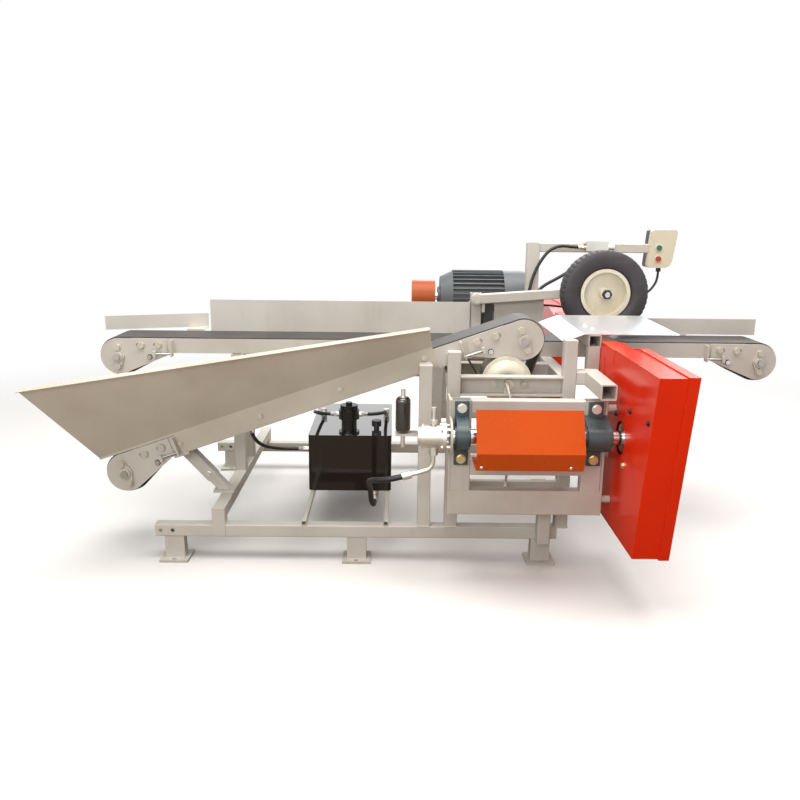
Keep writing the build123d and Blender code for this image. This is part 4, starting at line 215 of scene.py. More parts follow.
def makeRubberSkin():
    # moulded rubber: fine grain, pale bloom in patches, scuffs along the run
    tree, given, result = newGroup("rubberSkin", [
        ("Tint", colour, (0.05, 0.05, 0.05, 1)), ("Bloom", colour, (0.22, 0.20, 0.18, 1)),
        ("Gloss", number, 0.6), ("Dusting", number, 0.4), ("Grain", number, 0.5),
    ], surfaceOut)
    place = objectSpace(tree)
    cloud = noise(tree, place, 7.0, 6.0, 0.62)
    scuff = noise(tree, stretched(tree, place, (3.0, 70.0, 70.0)), 1.0, 5.0, 0.6)
    grain = noise(tree, place, 520.0, 2.0, 0.6)
    patches = math(tree, "MULTIPLY", window(tree, cloud, 0.38, 0.75), 0.6)
    scuffs = math(tree, "MULTIPLY", window(tree, scuff, 0.55, 0.75), 0.5)
    film = math(tree, "ADD", patches, scuffs)
    film = math(tree, "MULTIPLY", film, given["Dusting"], True)
    deep = blendColour(tree, 1.0, given["Tint"], (0.72, 0.72, 0.72, 1), "MULTIPLY")
    toned = blendColour(tree, window(tree, grain, 0.3, 0.7), given["Tint"], deep)
    put(tree, result["Color"], blendColour(tree, film, toned, given["Bloom"]))
    put(tree, result["Roughness"], math(tree, "ADD", given["Gloss"], math(tree, "MULTIPLY", film, 0.25), True))
    put(tree, result["Height"], math(tree, "MULTIPLY", grain, given["Grain"]))
    return tree


def makeCastSkin():
    # sand-cast housing under thin paint: pitted skin, soft lumps, oil stains
    tree, given, result = newGroup("castSkin", [
        ("Tint", colour, (0.1, 0.13, 0.14, 1)), ("Stain", colour, (0.05, 0.05, 0.05, 1)),
        ("Gloss", number, 0.4), ("Pits", number, 0.5), ("Oil", number, 0.4),
    ], surfaceOut)
    place = objectSpace(tree)
    lumps = noise(tree, place, 70.0, 4.0, 0.6)
    pits = noise(tree, place, 320.0, 3.0, 0.65)
    cloud = noise(tree, place, 14.0, 6.0, 0.62)
    film = math(tree, "MULTIPLY", window(tree, cloud, 0.44, 0.70), given["Oil"], True)
    light = blendColour(tree, 1.0, given["Tint"], (1.35, 1.33, 1.30, 1), "MULTIPLY")
    toned = blendColour(tree, math(tree, "MULTIPLY", window(tree, lumps, 0.5, 0.75), 0.5), given["Tint"], light)
    put(tree, result["Color"], blendColour(tree, film, toned, given["Stain"]))
    put(tree, result["Roughness"], math(tree, "SUBTRACT", given["Gloss"], math(tree, "MULTIPLY", film, 0.12), True))
    height = math(tree, "ADD", math(tree, "MULTIPLY", lumps, 0.5), math(tree, "MULTIPLY", pits, 0.5))
    put(tree, result["Height"], math(tree, "MULTIPLY", height, given["Pits"]))
    return tree


groups = {"paint": makeAgedPaint(), "metal": makeWorkedMetal(), "rubber": makeRubberSkin(), "cast": makeCastSkin()}


def finish(name, kind, inputs, bump=0.0008, strength=0.35, metallic=0.0, **plain):
    # one material: the shared group feeds the Principled shader, plain values go on its own sockets
    made = bpy.data.materials.new(name)
    made.use_nodes = True
    tree = made.node_tree
    shader = tree.nodes["Principled BSDF"]
    group = newNode(tree, "ShaderNodeGroup", (-700, 100), node_tree=groups[kind])
    for key, value in inputs.items():
        group.inputs[key].default_value = (*value, 1.0) if isinstance(value, tuple) else value
    tree.links.new(group.outputs["Color"], shader.inputs["Base Color"])
    tree.links.new(group.outputs["Roughness"], shader.inputs["Roughness"])
    lift = newNode(tree, "ShaderNodeBump", (-300, -300))
    lift.inputs["Distance"].default_value = bump
    lift.inputs["Strength"].default_value = strength
    tree.links.new(group.outputs["Height"], lift.inputs["Height"])
    tree.links.new(lift.outputs["Normal"], shader.inputs["Normal"])
    shader.inputs["Metallic"].default_value = metallic
    for key, value in plain.items():
        shader.inputs[key].default_value = value
    return made


looks = {
    "framePaint": finish("framePaint", "paint", {
        "Tint": (0.640, 0.605, 0.555), "Dust": (0.45, 0.40, 0.33), "Rubbed": (0.74, 0.71, 0.66),
        "Gloss": 0.42, "Mottle": 0.7, "Grime": 0.30, "Wear": 0.5, "Peel": 0.25}, **{"Specular IOR Level": 0.35}),
    # trough wall: the frame paint made darker and warmer, which is painted shade and a painted warm floor reflection
    # on its outward-leaning face
    "troughPaintWithPaintedShade": finish("troughPaintWithPaintedShade", "paint", {
        "Tint": (0.625, 0.565, 0.480), "Dust": (0.44, 0.36, 0.27), "Rubbed": (0.74, 0.70, 0.63),
        "Gloss": 0.36, "Mottle": 0.7, "Grime": 0.35, "Wear": 0.5, "Peel": 0.25}, **{"Specular IOR Level": 0.35}),
    "caseRed": finish("caseRed", "paint", {
        "Tint": (0.86, 0.027, 0.001), "Dust": (0.46, 0.08, 0.02), "Rubbed": (0.90, 0.20, 0.06),
        "Gloss": 0.20, "Mottle": 0.5, "Grime": 0.20, "Wear": 0.5, "Peel": 0.10}, **{"Specular IOR Level": 0.18}),
    "guardOrange": finish("guardOrange", "paint", {
        "Tint": (0.60, 0.080, 0.005), "Dust": (0.40, 0.11, 0.03), "Rubbed": (0.78, 0.26, 0.09),
        "Gloss": 0.28, "Mottle": 0.4, "Grime": 0.15, "Wear": 0.4, "Peel": 0.12}, **{"Specular IOR Level": 0.22}),
    "tankBlack": finish("tankBlack", "paint", {
        "Tint": (0.022, 0.016, 0.013), "Dust": (0.09, 0.07, 0.055), "Rubbed": (0.12, 0.11, 0.10),
        "Gloss": 0.07, "Mottle": 0.4, "Grime": 0.22, "Wear": 0.35, "Peel": 0.06}, **{"Specular IOR Level": 0.42}),
    "tankLid": finish("tankLid", "paint", {
        "Tint": (0.030, 0.024, 0.021), "Dust": (0.11, 0.09, 0.075), "Rubbed": (0.14, 0.13, 0.12),
        "Gloss": 0.06, "Mottle": 0.4, "Grime": 0.18, "Wear": 0.35, "Peel": 0.04},
        **{"Specular IOR Level": 0.8, "Coat Weight": 1.0, "Coat Roughness": 0.04, "Coat IOR": 2.2}),
    "bottleBlack": finish("bottleBlack", "paint", {
        "Tint": (0.012, 0.010, 0.010), "Dust": (0.08, 0.07, 0.06), "Rubbed": (0.20, 0.20, 0.20),
        "Gloss": 0.05, "Mottle": 0.4, "Grime": 0.15, "Wear": 0.3, "Peel": 0.05},
        **{"Specular IOR Level": 0.7, "Coat Weight": 1.0, "Coat Roughness": 0.03, "Coat IOR": 1.7}),
    "beltGuardOrange": finish("beltGuardOrange", "paint", {
        "Tint": (0.42, 0.088, 0.026), "Dust": (0.40, 0.16, 0.07), "Rubbed": (0.70, 0.40, 0.24),
        "Gloss": 0.34, "Mottle": 0.5, "Grime": 0.30, "Wear": 0.6, "Peel": 0.12}, **{"Specular IOR Level": 0.25}),
    "rimCream": finish("rimCream", "paint", {
        "Tint": (0.80, 0.755, 0.62), "Dust": (0.45, 0.38, 0.29), "Rubbed": (0.86, 0.84, 0.78),
        "Gloss": 0.32, "Mottle": 0.4, "Grime": 0.35, "Wear": 0.3, "Peel": 0.15}),
    "boxBeige": finish("boxBeige", "paint", {
        "Tint": (0.72, 0.65, 0.49), "Dust": (0.45, 0.39, 0.30), "Rubbed": (0.80, 0.76, 0.66),
        "Gloss": 0.45, "Mottle": 0.4, "Grime": 0.25, "Wear": 0.2, "Peel": 0.4}),
    "motorGrey": finish("motorGrey", "paint", {
        "Tint": (0.115, 0.128, 0.135), "Dust": (0.22, 0.20, 0.17), "Rubbed": (0.30, 0.31, 0.31),
        "Gloss": 0.42, "Mottle": 0.6, "Grime": 0.40, "Wear": 0.4, "Peel": 0.45}),
    "blackGloss": finish("blackGloss", "paint", {
        "Tint": (0.010, 0.010, 0.010), "Dust": (0.08, 0.07, 0.06), "Rubbed": (0.20, 0.20, 0.20),
        "Gloss": 0.14, "Mottle": 0.4, "Grime": 0.25, "Wear": 0.3, "Peel": 0.15}),
    "startGreen": finish("startGreen", "paint", {
        "Tint": (0.016, 0.175, 0.075), "Dust": (0.10, 0.25, 0.14), "Rubbed": (0.10, 0.40, 0.22),
        "Gloss": 0.22, "Mottle": 0.3, "Grime": 0.15, "Wear": 0.1, "Peel": 0.1}),
    "stopRed": finish("stopRed", "paint", {
        "Tint": (0.46, 0.032, 0.018), "Dust": (0.36, 0.10, 0.07), "Rubbed": (0.70, 0.14, 0.10),
        "Gloss": 0.22, "Mottle": 0.3, "Grime": 0.15, "Wear": 0.1, "Peel": 0.1}),
    "rollerSteel": finish("rollerSteel", "metal", {
        "Tint": (0.50, 0.48, 0.46), "Gloss": 0.34, "Lines": 0.30, "Age": 0.40}, metallic=1.0),
    "polishedSteel": finish("polishedSteel", "metal", {
        "Tint": (0.66, 0.66, 0.66), "Gloss": 0.16, "Lines": 0.14, "Age": 0.12}, metallic=1.0),
    "bladeSteel": finish("bladeSteel", "metal", {
        "Tint": (0.58, 0.59, 0.60), "Gloss": 0.22, "Lines": 0.22, "Age": 0.15}, metallic=1.0),
    "brightSheet": finish("brightSheet", "metal", {
        "Tint": (0.80, 0.81, 0.83), "Oxide": (0.55, 0.54, 0.52),
        "Gloss": 0.34, "Lines": 0.20, "Age": 0.20}, metallic=0.75),
    "yellowZinc": finish("yellowZinc", "metal", {
        "Tint": (0.72, 0.60, 0.34), "Oxide": (0.46, 0.36, 0.20),
        "Gloss": 0.28, "Lines": 0.14, "Age": 0.35}, metallic=0.9),
    "dullZinc": finish("dullZinc", "metal", {
        "Tint": (0.60, 0.56, 0.47), "Oxide": (0.36, 0.30, 0.21),
        "Gloss": 0.42, "Lines": 0.10, "Age": 0.45}, metallic=0.45),
    "paleZinc": finish("paleZinc", "metal", {
        "Tint": (0.78, 0.77, 0.72), "Oxide": (0.50, 0.46, 0.38),
        "Gloss": 0.30, "Lines": 0.10, "Age": 0.25}, metallic=0.85),
    "darkSteel": finish("darkSteel", "metal", {
        "Tint": (0.055, 0.050, 0.045), "Oxide": (0.09, 0.065, 0.045),
        "Gloss": 0.36, "Lines": 0.10, "Age": 0.40}, metallic=0.7),
    "pumpAlloy": finish("pumpAlloy", "metal", {
        "Tint": (0.82, 0.79, 0.73), "Oxide": (0.50, 0.46, 0.39),
        "Gloss": 0.36, "Lines": 0.12, "Age": 0.30}, metallic=0.85),
    "beltRubber": finish("beltRubber", "rubber", {
        "Tint": (0.052, 0.045, 0.045), "Bloom": (0.17, 0.15, 0.135), "Gloss": 0.52, "Dusting": 0.45, "Grain": 0.6}),
    "tyreRubber": finish("tyreRubber", "rubber", {
        "Tint": (0.036, 0.031, 0.036), "Bloom": (0.13, 0.115, 0.12), "Gloss": 0.50, "Dusting": 0.40, "Grain": 0.4}),
    "hoseRubber": finish("hoseRubber", "rubber", {
        "Tint": (0.012, 0.012, 0.012), "Bloom": (0.07, 0.065, 0.06), "Gloss": 0.36, "Dusting": 0.35, "Grain": 0.5}),
    "paleHose": finish("paleHose", "rubber", {
        "Tint": (0.58, 0.53, 0.45), "Bloom": (0.42, 0.37, 0.30), "Gloss": 0.40, "Dusting": 0.3, "Grain": 0.3}),
    "blackPlastic": finish("blackPlastic", "rubber", {
        "Tint": (0.014, 0.014, 0.015), "Bloom": (0.08, 0.075, 0.07), "Gloss": 0.42, "Dusting": 0.3, "Grain": 0.6}),
    "blockCast": finish("blockCast", "cast", {
        "Tint": (0.060, 0.090, 0.098), "Stain": (0.030, 0.034, 0.034),
        "Gloss": 0.36, "Pits": 0.6, "Oil": 0.5}, strength=0.5),
}
print("materials made:", len(looks))

# which look each CAD node takes all over
plainDress = {
    "framePaint": [
        "base_frame", "floor_feet", "frame_posts", "upper_tubes", "receiver_tube", "conveyor_rails", "return_rails",
        "drum_channel", "fences", "mast", "drive_frame", "tension_guides", "carriage_frame",
        "infeed_takeup", "outfeed_takeup", "return_tail_takeup", "return_head_takeup", "hold_down_arm",
    ],
    # the trough wall takes the darker, warmer copy of the frame paint, with painted shade and painted warm reflection
    "troughPaintWithPaintedShade": ["trough_wall"],
    "rollerSteel": [
        "infeed_roller", "outfeed_roller", "return_tail_roller", "return_head_roller", "slider_beds", "blade_guides",
    ],
    "polishedSteel": ["front_band_wheel", "rear_band_wheel", "motor_rotor"],
    "bladeSteel": ["band_blade"],
    "beltRubber": ["feed_belt", "return_belt", "rubber_flap", "drive_belts"],
    "dullZinc": ["frame_bolts"],
    "blockCast": ["front_pillow_blocks", "rear_pillow_blocks"],
    "caseRed": ["front_wheel_case", "rear_wheel_case", "front_case_door", "rear_case_door", "blade_tunnels"],
    "guardOrange": ["shaft_guard"],
    "beltGuardOrange": ["belt_guard"],
    "pumpAlloy": ["hydraulic_pump"],
    "motorGrey": ["drive_motor"],
    "brightSheet": ["transfer_plate"],
    "tankBlack": ["oil_tank"],
    "blackGloss": ["return_filter"],
    "bottleBlack": ["accumulator"],
    "hoseRubber": ["pump_hose", "tank_hoses", "mast_hoses", "control_cable"],
    "paleHose": ["tension_line"],
    "tyreRubber": ["tyre"],
    "rimCream": ["tyre_rim", "drive_drum"],
    "boxBeige": ["control_box"],
    "startGreen": ["start_button"],
    "stopRed": ["stop_button"],
}


def dressNode(name, look):
    slots = nodes[name].material_slots
    if not slots:
        nodes[name].data.materials.append(looks[look])
    for slot in slots:
        slot.material = looks[look]


for look, names in plainDress.items():
    for name in names:
        dressNode(name, look)


def faceCentres(name):
    # centre of every face of a CAD node, in millimetres
    faces = nodes[name].data.polygons
    flat = np.empty(len(faces) * 3)
    faces.foreach_get("center", flat)
    return flat.reshape(-1, 3).T / mm


def dressFaces(name, look, chosen):
    # a second look in a slot of its own, for the faces that the mask picks
    mesh = nodes[name].data
    mesh.materials.append(looks[look])
    index = np.empty(len(mesh.polygons), dtype=np.int32)
    mesh.polygons.foreach_get("material_index", index)
    index[chosen] = len(mesh.materials) - 1
    mesh.polygons.foreach_set("material_index", index)
    mesh.update()


def near(a, b, at, reach):
    return np.hypot(a - at[0], b - at[1]) < reach


# roller and fitting centres on the CAD nodes, in millimetres: (x, z) unless the name says plan, which is (x, y)
places = {
    "infeed": (-1387.0, 750.0), "outfeed": (1477.0, 750.0), "returnTail": (-1258.0, 333.0), "returnHead": (358.0, 900.0),
    "drum": (293, 735), "drumBolts": ((233, 735), (353, 735)), "tensionRod": (290, 287), "wheelAxle": (789, 1040),
    "buttons": ((1158, 1227), (1158, 1173)), "bracePin": (-937.3, 305.4),
    "breatherPlan": (-235, -130), "bottlePlan": (-120, -545),
}
feedMiddle, returnMiddle = 0.0, -395.0
lidTop = 429.0
slopeAngle = np.arctan2(
    places["returnHead"][1] - places["returnTail"][1], places["returnHead"][0] - places["returnTail"][0])


def stationAxes(name, origin, inward, y0):
    # face centres in a take-up's own axes: along the belt, out from its middle plane, square to the belt
    x, y, z = faceCentres(name)
    dx, dz = x - origin[0], z - origin[1]
    a = dx * inward[0] + dz * inward[1]
    up = (-inward[1], inward[0]) if inward[0] > 0 else (inward[1], -inward[0])
    return a, np.abs(y - y0), dx * up[0] + dz * up[1]


runDown = (np.cos(slopeAngle), np.sin(slopeAngle))
takeups = {
    "infeed_takeup": (places["infeed"], (1.0, 0.0), feedMiddle, 109.0),
    "outfeed_takeup": (places["outfeed"], (-1.0, 0.0), feedMiddle, 109.0),
    "return_tail_takeup": (places["returnTail"], runDown, returnMiddle, 92.0),
    "return_head_takeup": (places["returnHead"], (-runDown[0], -runDown[1]), returnMiddle, 92.0),
}
plateThick = 6.0
boltRise, screwAt, screwStart = 42, (139, -2), 170.5
for name, (origin, inward, y0, railOut) in takeups.items():
    a, y, b = stationAxes(name, origin, inward, y0)
    face = railOut + plateThick
    proud = y > face + 0.2
    boltHead = proud & (near(a, b, (0, boltRise), 17) | near(a, b, (0, -boltRise), 17)) & (y > face + 12.9)
    dressFaces(name, "dullZinc", boltHead)
    dressFaces(name, "rollerSteel", proud & (a > screwStart))
    dressFaces(name, "blackPlastic", proud & near(a, b, screwAt, 13) & (y < face + 2.7))
    dressFaces(name, "polishedSteel", proud & near(a, b, screwAt, 12) & (y > face + 2.7))

for name in ("front_pillow_blocks", "rear_pillow_blocks"):
    x, y, z = faceCentres(name)
    bolt = np.abs(y) > 773.2
    dressFaces(name, "paleZinc", bolt & (z > 666))
    dressFaces(name, "yellowZinc", bolt & (z < 514))
x, y, z = faceCentres("drum_channel")
boltLeft, boltRight = (near(x, z, at, 18) for at in places["drumBolts"])
dressFaces("drum_channel", "dullZinc", (y < -565.6) & (boltLeft | boltRight))
dressFaces("drum_channel", "blockCast", (y > -559.4) & near(x, z, places["drum"], 80))
x, y, z = faceCentres("mast")
dressFaces("mast", "pumpAlloy", (x > 780) & ((y < 437.4) | (z > 1244.2)))
dressFaces("mast", "pumpAlloy", (z < 790) & (y < 406))
x, y, z = faceCentres("hold_down_arm")
axleFace = near(x, z, places["wheelAxle"], 24) & ((y < 75.5) | (y > 120.2))
dressFaces("hold_down_arm", "darkSteel", axleFace)
dressFaces("hold_down_arm", "polishedSteel", axleFace & near(x, z, places["wheelAxle"], 9))
x, y, z = faceCentres("tension_guides")
dressFaces("tension_guides", "motorGrey", near(x, z, places["tensionRod"], 31) & (z < 322))
x, y, z = faceCentres("carriage_frame")
dressFaces("carriage_frame", "polishedSteel", near(x, z, places["tensionRod"], 15) & (y > -702))
x, y, z = faceCentres("oil_tank")
dressFaces("oil_tank", "tankLid", np.abs(z - lidTop) < 0.4)
dressFaces("oil_tank", "pumpAlloy", (z < 172.5) | ((z > lidTop + 0.5) & (y > 60)) | (x < -535))
dressFaces("oil_tank", "blackPlastic", near(x, y, places["breatherPlan"], 24) & (z > lidTop + 0.5))
x, y, z = faceCentres("accumulator")
dressFaces("accumulator", "pumpAlloy", (z > 676) | ((z < 528) & near(x, y, places["bottlePlan"], 10)))
dressFaces("accumulator", "framePaint", (z < 529.2) & ~near(x, y, places["bottlePlan"], 9.5) & (z > 520))
x, y, z = faceCentres("frame_posts")
dressFaces("frame_posts", "paleZinc", near(x, z, places["bracePin"], 15) & (np.abs(y - returnMiddle) > 25.3))
x, y, z = faceCentres("control_box")
dressFaces("control_box", "blackPlastic", (z < 1127.5) | ((y > 455) & (x < 1140) & (z < 1314)))
bezelStart, bezelStop = (near(x, z, at, 19) for at in places["buttons"])
dressFaces("control_box", "rimCream", (y < 408.9) & (bezelStart | bezelStop))
for name in ("front_wheel_case", "rear_wheel_case"):
    x, y, z = faceCentres(name)
    dressFaces(name, "framePaint", x < 670)
x, y, z = faceCentres("return_filter")
dressFaces("return_filter", "pumpAlloy", np.abs(x + 356) > 47)
print("CAD nodes dressed")

# new pieces are grids of points in millimetres, joined and closed into one mesh
def joinGrids(grids):
    # each grid of rows by columns points gives (rows - 1) by (columns - 1) quads
    points, faces, start = [], [], 0
    for grid in grids:
        rows, columns = grid.shape[:2]
        index = np.arange(rows * columns).reshape(rows, columns) + start
        quads = np.stack((index[:-1, :-1], index[:-1, 1:], index[1:, 1:], index[1:, :-1]), axis=-1)
        points.append(grid.reshape(-1, 3) * mm)
        faces.append(quads.reshape(-1, 4))
        start += rows * columns
    return np.concatenate(points), np.concatenate(faces)


def makePiece(name, grids, look, body, sharp=35.0):
    points, faces = joinGrids(grids)
    mesh = bpy.data.meshes.new(name)
    mesh.from_pydata(points.tolist(), [], faces.tolist())
    shape = bmesh.new()
    shape.from_mesh(mesh)
    bmesh.ops.remove_doubles(shape, verts=shape.verts, dist=0.00002)
    bmesh.ops.recalc_face_normals(shape, faces=shape.faces)
    shape.to_mesh(mesh)
    shape.free()
    mesh.shade_smooth()
    mesh.set_sharp_from_angle(angle=radians(sharp))
    mesh.materials.append(looks[look])
    piece = bpy.data.objects.new(name, mesh)
    scene.collection.objects.link(piece)
    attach(piece, body)
    return piece


def turned(profile, centre, axis, sides=28, phase=0.0):
    # surface of revolution: centre + along * axis + radius * (cos u, sin u) square to the axis
    axis = np.array(axis, dtype=float) / np.linalg.norm(axis)
    helper = (0.0, 0.0, 1.0) if abs(axis[2]) < 0.9 else (1.0, 0.0, 0.0)
    across = np.cross(axis, helper)
    across /= np.linalg.norm(across)
    third = np.cross(axis, across)
    along, radius = np.array(profile, dtype=float).T
    u = np.linspace(0.0, 2.0 * np.pi, sides + 1) + phase
    ring = np.cos(u)[:, None] * across + np.sin(u)[:, None] * third
    return np.array(centre, dtype=float) + along[:, None, None] * axis + radius[:, None, None] * ring


def hexHead(centre, axis, reach, height, phase=0.3):
    # washer, then a six-sided head with a small chamfer and a flat top
    washer = [(0, 0), (0, reach * 1.18), (1.6, reach * 1.18), (1.6, 0)]
    head = [(1.6, 0), (1.6, reach), (height * 0.82, reach), (height, reach * 0.84), (height, 0)]
    return [turned(washer, centre, axis, 28), turned(head, centre, axis, 6, phase)]


def roundHead(centre, axis, reach, height):
    # domed screw head: radius falls with the square root of the height left
    rise = np.linspace(0.0, 1.0, 7)
    dome = [(height * t, reach * np.sqrt(1.0 - 0.75 * t * t) if t < 1 else reach * 0.5) for t in rise]
    return [turned([(0, 0)] + dome + [(height, 0)], centre, axis, 20)]


# tyre: section from bead to bead, ribs on the sidewalls, ribbed and cut tread
tyreSet = {
    "centre": (789.0, 0.0, 1040.0),
    "side": [
        (103.6, 35.0), (108.0, 35.0), (113.0, 35.0), (118.0, 40.0), (124.0, 44.4), (131.0, 48.0), (139.0, 50.6),
        (148.0, 51.9), (157.0, 52.1), (166.0, 51.4), (174.0, 49.6), (181.0, 47.0), (185.0, 45.4), (188.0, 43.8),
        (190.0, 42.0), (191.0, 40.0),
    ],
    "ribs": [(121.0, 1.3, 0.9), (129.0, 1.0, 0.7), (171.0, 1.4, 0.5), (177.0, 1.2, 0.6)],
    "grooves": (-25.0, 0.0, 25.0), "grooveWidth": 2.6, "grooveDepth": 4.0,
    "cuts": 48, "cutDepth": 3.2, "around": 384,
    "halfWidth": 52.3, "halfTread": 40.0, "crownRadius": 193.0, "crownDrop": 2.0, "treadFrom": 186.0, "outerRib": 25.0,
}


def makeTyre(values):
    # r(s), y(s) along the section; tread depth = grooves round the tyre plus cuts across it, offset from rib to rib
    radius, out = np.array(values["side"]).T
    s = np.linspace(0.0, 1.0, 58)
    walk = np.concatenate(([0.0], np.cumsum(np.hypot(np.diff(radius), np.diff(out)))))
    r = np.interp(s * walk[-1], walk, radius)
    y = np.interp(s * walk[-1], walk, out)
    for at, width, height in values["ribs"]:
        y = y + height * np.exp(-((r - at) / width) ** 2)
    y = np.minimum(y, values["halfWidth"])
    half = values["halfTread"]
    tread = np.linspace(half, -half, 62)[1:-1]
    crown = values["crownRadius"] - values["crownDrop"] * (tread / half) ** 2
    allR = np.concatenate((r, crown, r[::-1]))
    allY = np.concatenate((y, tread, -y[::-1]))
    u = np.linspace(0.0, 2.0 * np.pi, values["around"] + 1)
    depth = np.zeros((len(allR), len(u)))
    onTread = allR > values["treadFrom"]
    for at in values["grooves"]:
        depth += values["grooveDepth"] * np.exp(-((allY - at) / values["grooveWidth"]) ** 4)[:, None]
    lean = values["cuts"] * (u[None, :] + 0.0016 * np.abs(allY)[:, None])
    lean = lean + np.pi * (np.abs(allY) > values["outerRib"])[:, None]
    cut = np.clip((np.cos(lean) - 0.62) / 0.2, 0.0, 1.0) * (np.abs(allY) > 4.0)[:, None]
    depth = np.maximum(depth, values["cutDepth"] * cut) * onTread[:, None]
    spread = allR[:, None] - depth
    cx, cy, cz = values["centre"]
    across = cy + np.repeat(allY[:, None], len(u), 1)
    grid = np.stack((cx + spread * np.cos(u), across, cz + spread * np.sin(u)), axis=-1)
    inner = np.stack((grid[-1], grid[0]))
    tyre = makePiece("holdDownTyre", [grid, inner], "tyreRubber", "wheel", 42.0)
    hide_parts("tyre")


makeTyre(tyreSet)

# small fixings that the photograph shows, each seated on the face that carries it
pumpSet = {"face": 22.0, "y": -810.0, "z": 590.0, "ring": 47.6, "slant": 0.707}
pumpStep = pumpSet["ring"] * pumpSet["slant"]
fixings = {
    "caseBolts": {
        "look": "darkSteel", "slot": "wheel_steel", "reach": 9.0, "height": 8.0,
        "at": [(676.0, -749.0, 667.0), (676.0, -917.0, 717.0), (676.0, -1120.0, 728.0)],
    },
    "caseNut": {"look": "yellowZinc", "slot": "zinc", "reach": 11.0, "height": 9.0, "at": [(676.0, -880.0, 505.0)]},
    "pumpBolts": {
        "look": "paleZinc", "slot": "zinc", "reach": 7.0, "height": 7.0,
        "at": [
            (pumpSet["face"], pumpSet["y"] + c * pumpStep, pumpSet["z"] + s * pumpStep)
            for c, s in ((1, 1), (-1, 1), (-1, -1), (1, -1))
        ],
    },
}


def makeFixings(values):
    # all of them are on the carriage and face the infeed end
    for name, item in values.items():
        heads = [hexHead(at, (-1, 0, 0), item["reach"], item["height"]) for at in item["at"]]
        makePiece(name, [grid for head in heads for grid in head], item["look"], "carriage")


makeFixings(fixings)

guardSet = {
    "at": [(160.0, -901.5, 500.0), (483.0, -901.5, 500.0)], "axis": (0.0, -0.959, -0.283), "reach": 7.0, "height": 4.0,
}
heads = [roundHead(at, guardSet["axis"], guardSet["reach"], guardSet["height"]) for at in guardSet["at"]]
makePiece("guardScrews", [grid for head in heads for grid in head], "paleZinc", "carriage")


# weld beads round the feet of three front and two rear posts: a rippled bead carried along a square loop
weldSet = {
    "posts": [(-33.0, -585.0), (76.0, -585.0), (524.0, -585.0), (76.0, 585.0), (524.0, 585.0)],
    "z": 153.0, "half": 25.5, "bead": 3.2, "ripples": 64,
}


def weldLoop(x, y, values):
    # square path (sign(cos t) |cos t|^0.25, sign(sin t) |sin t|^0.25), bead radius ripples along it
    t = np.linspace(0.0, 2.0 * np.pi, 257)
    c, s = np.cos(t), np.sin(t)
    px, py = np.sign(c) * np.abs(c) ** 0.25, np.sign(s) * np.abs(s) ** 0.25
    turn = np.linspace(0.0, 2.0 * np.pi, 9)
    bead = values["bead"] * (1.0 + 0.10 * np.cos(values["ripples"] * t))
    length = np.hypot(px, py)
    outX, outY = px / length, py / length
    r = bead[:, None] * np.cos(turn)[None, :]
    return np.stack((
        x + values["half"] * px[:, None] + r * outX[:, None],
        y + values["half"] * py[:, None] + r * outY[:, None],
        values["z"] + bead[:, None] * np.sin(turn)[None, :],
    ), axis=-1)


welds = [weldLoop(x, y, weldSet) for x, y in weldSet["posts"]]
makePiece("postWelds", welds, "framePaint", "frame", 60.0)
print("detail pieces made")

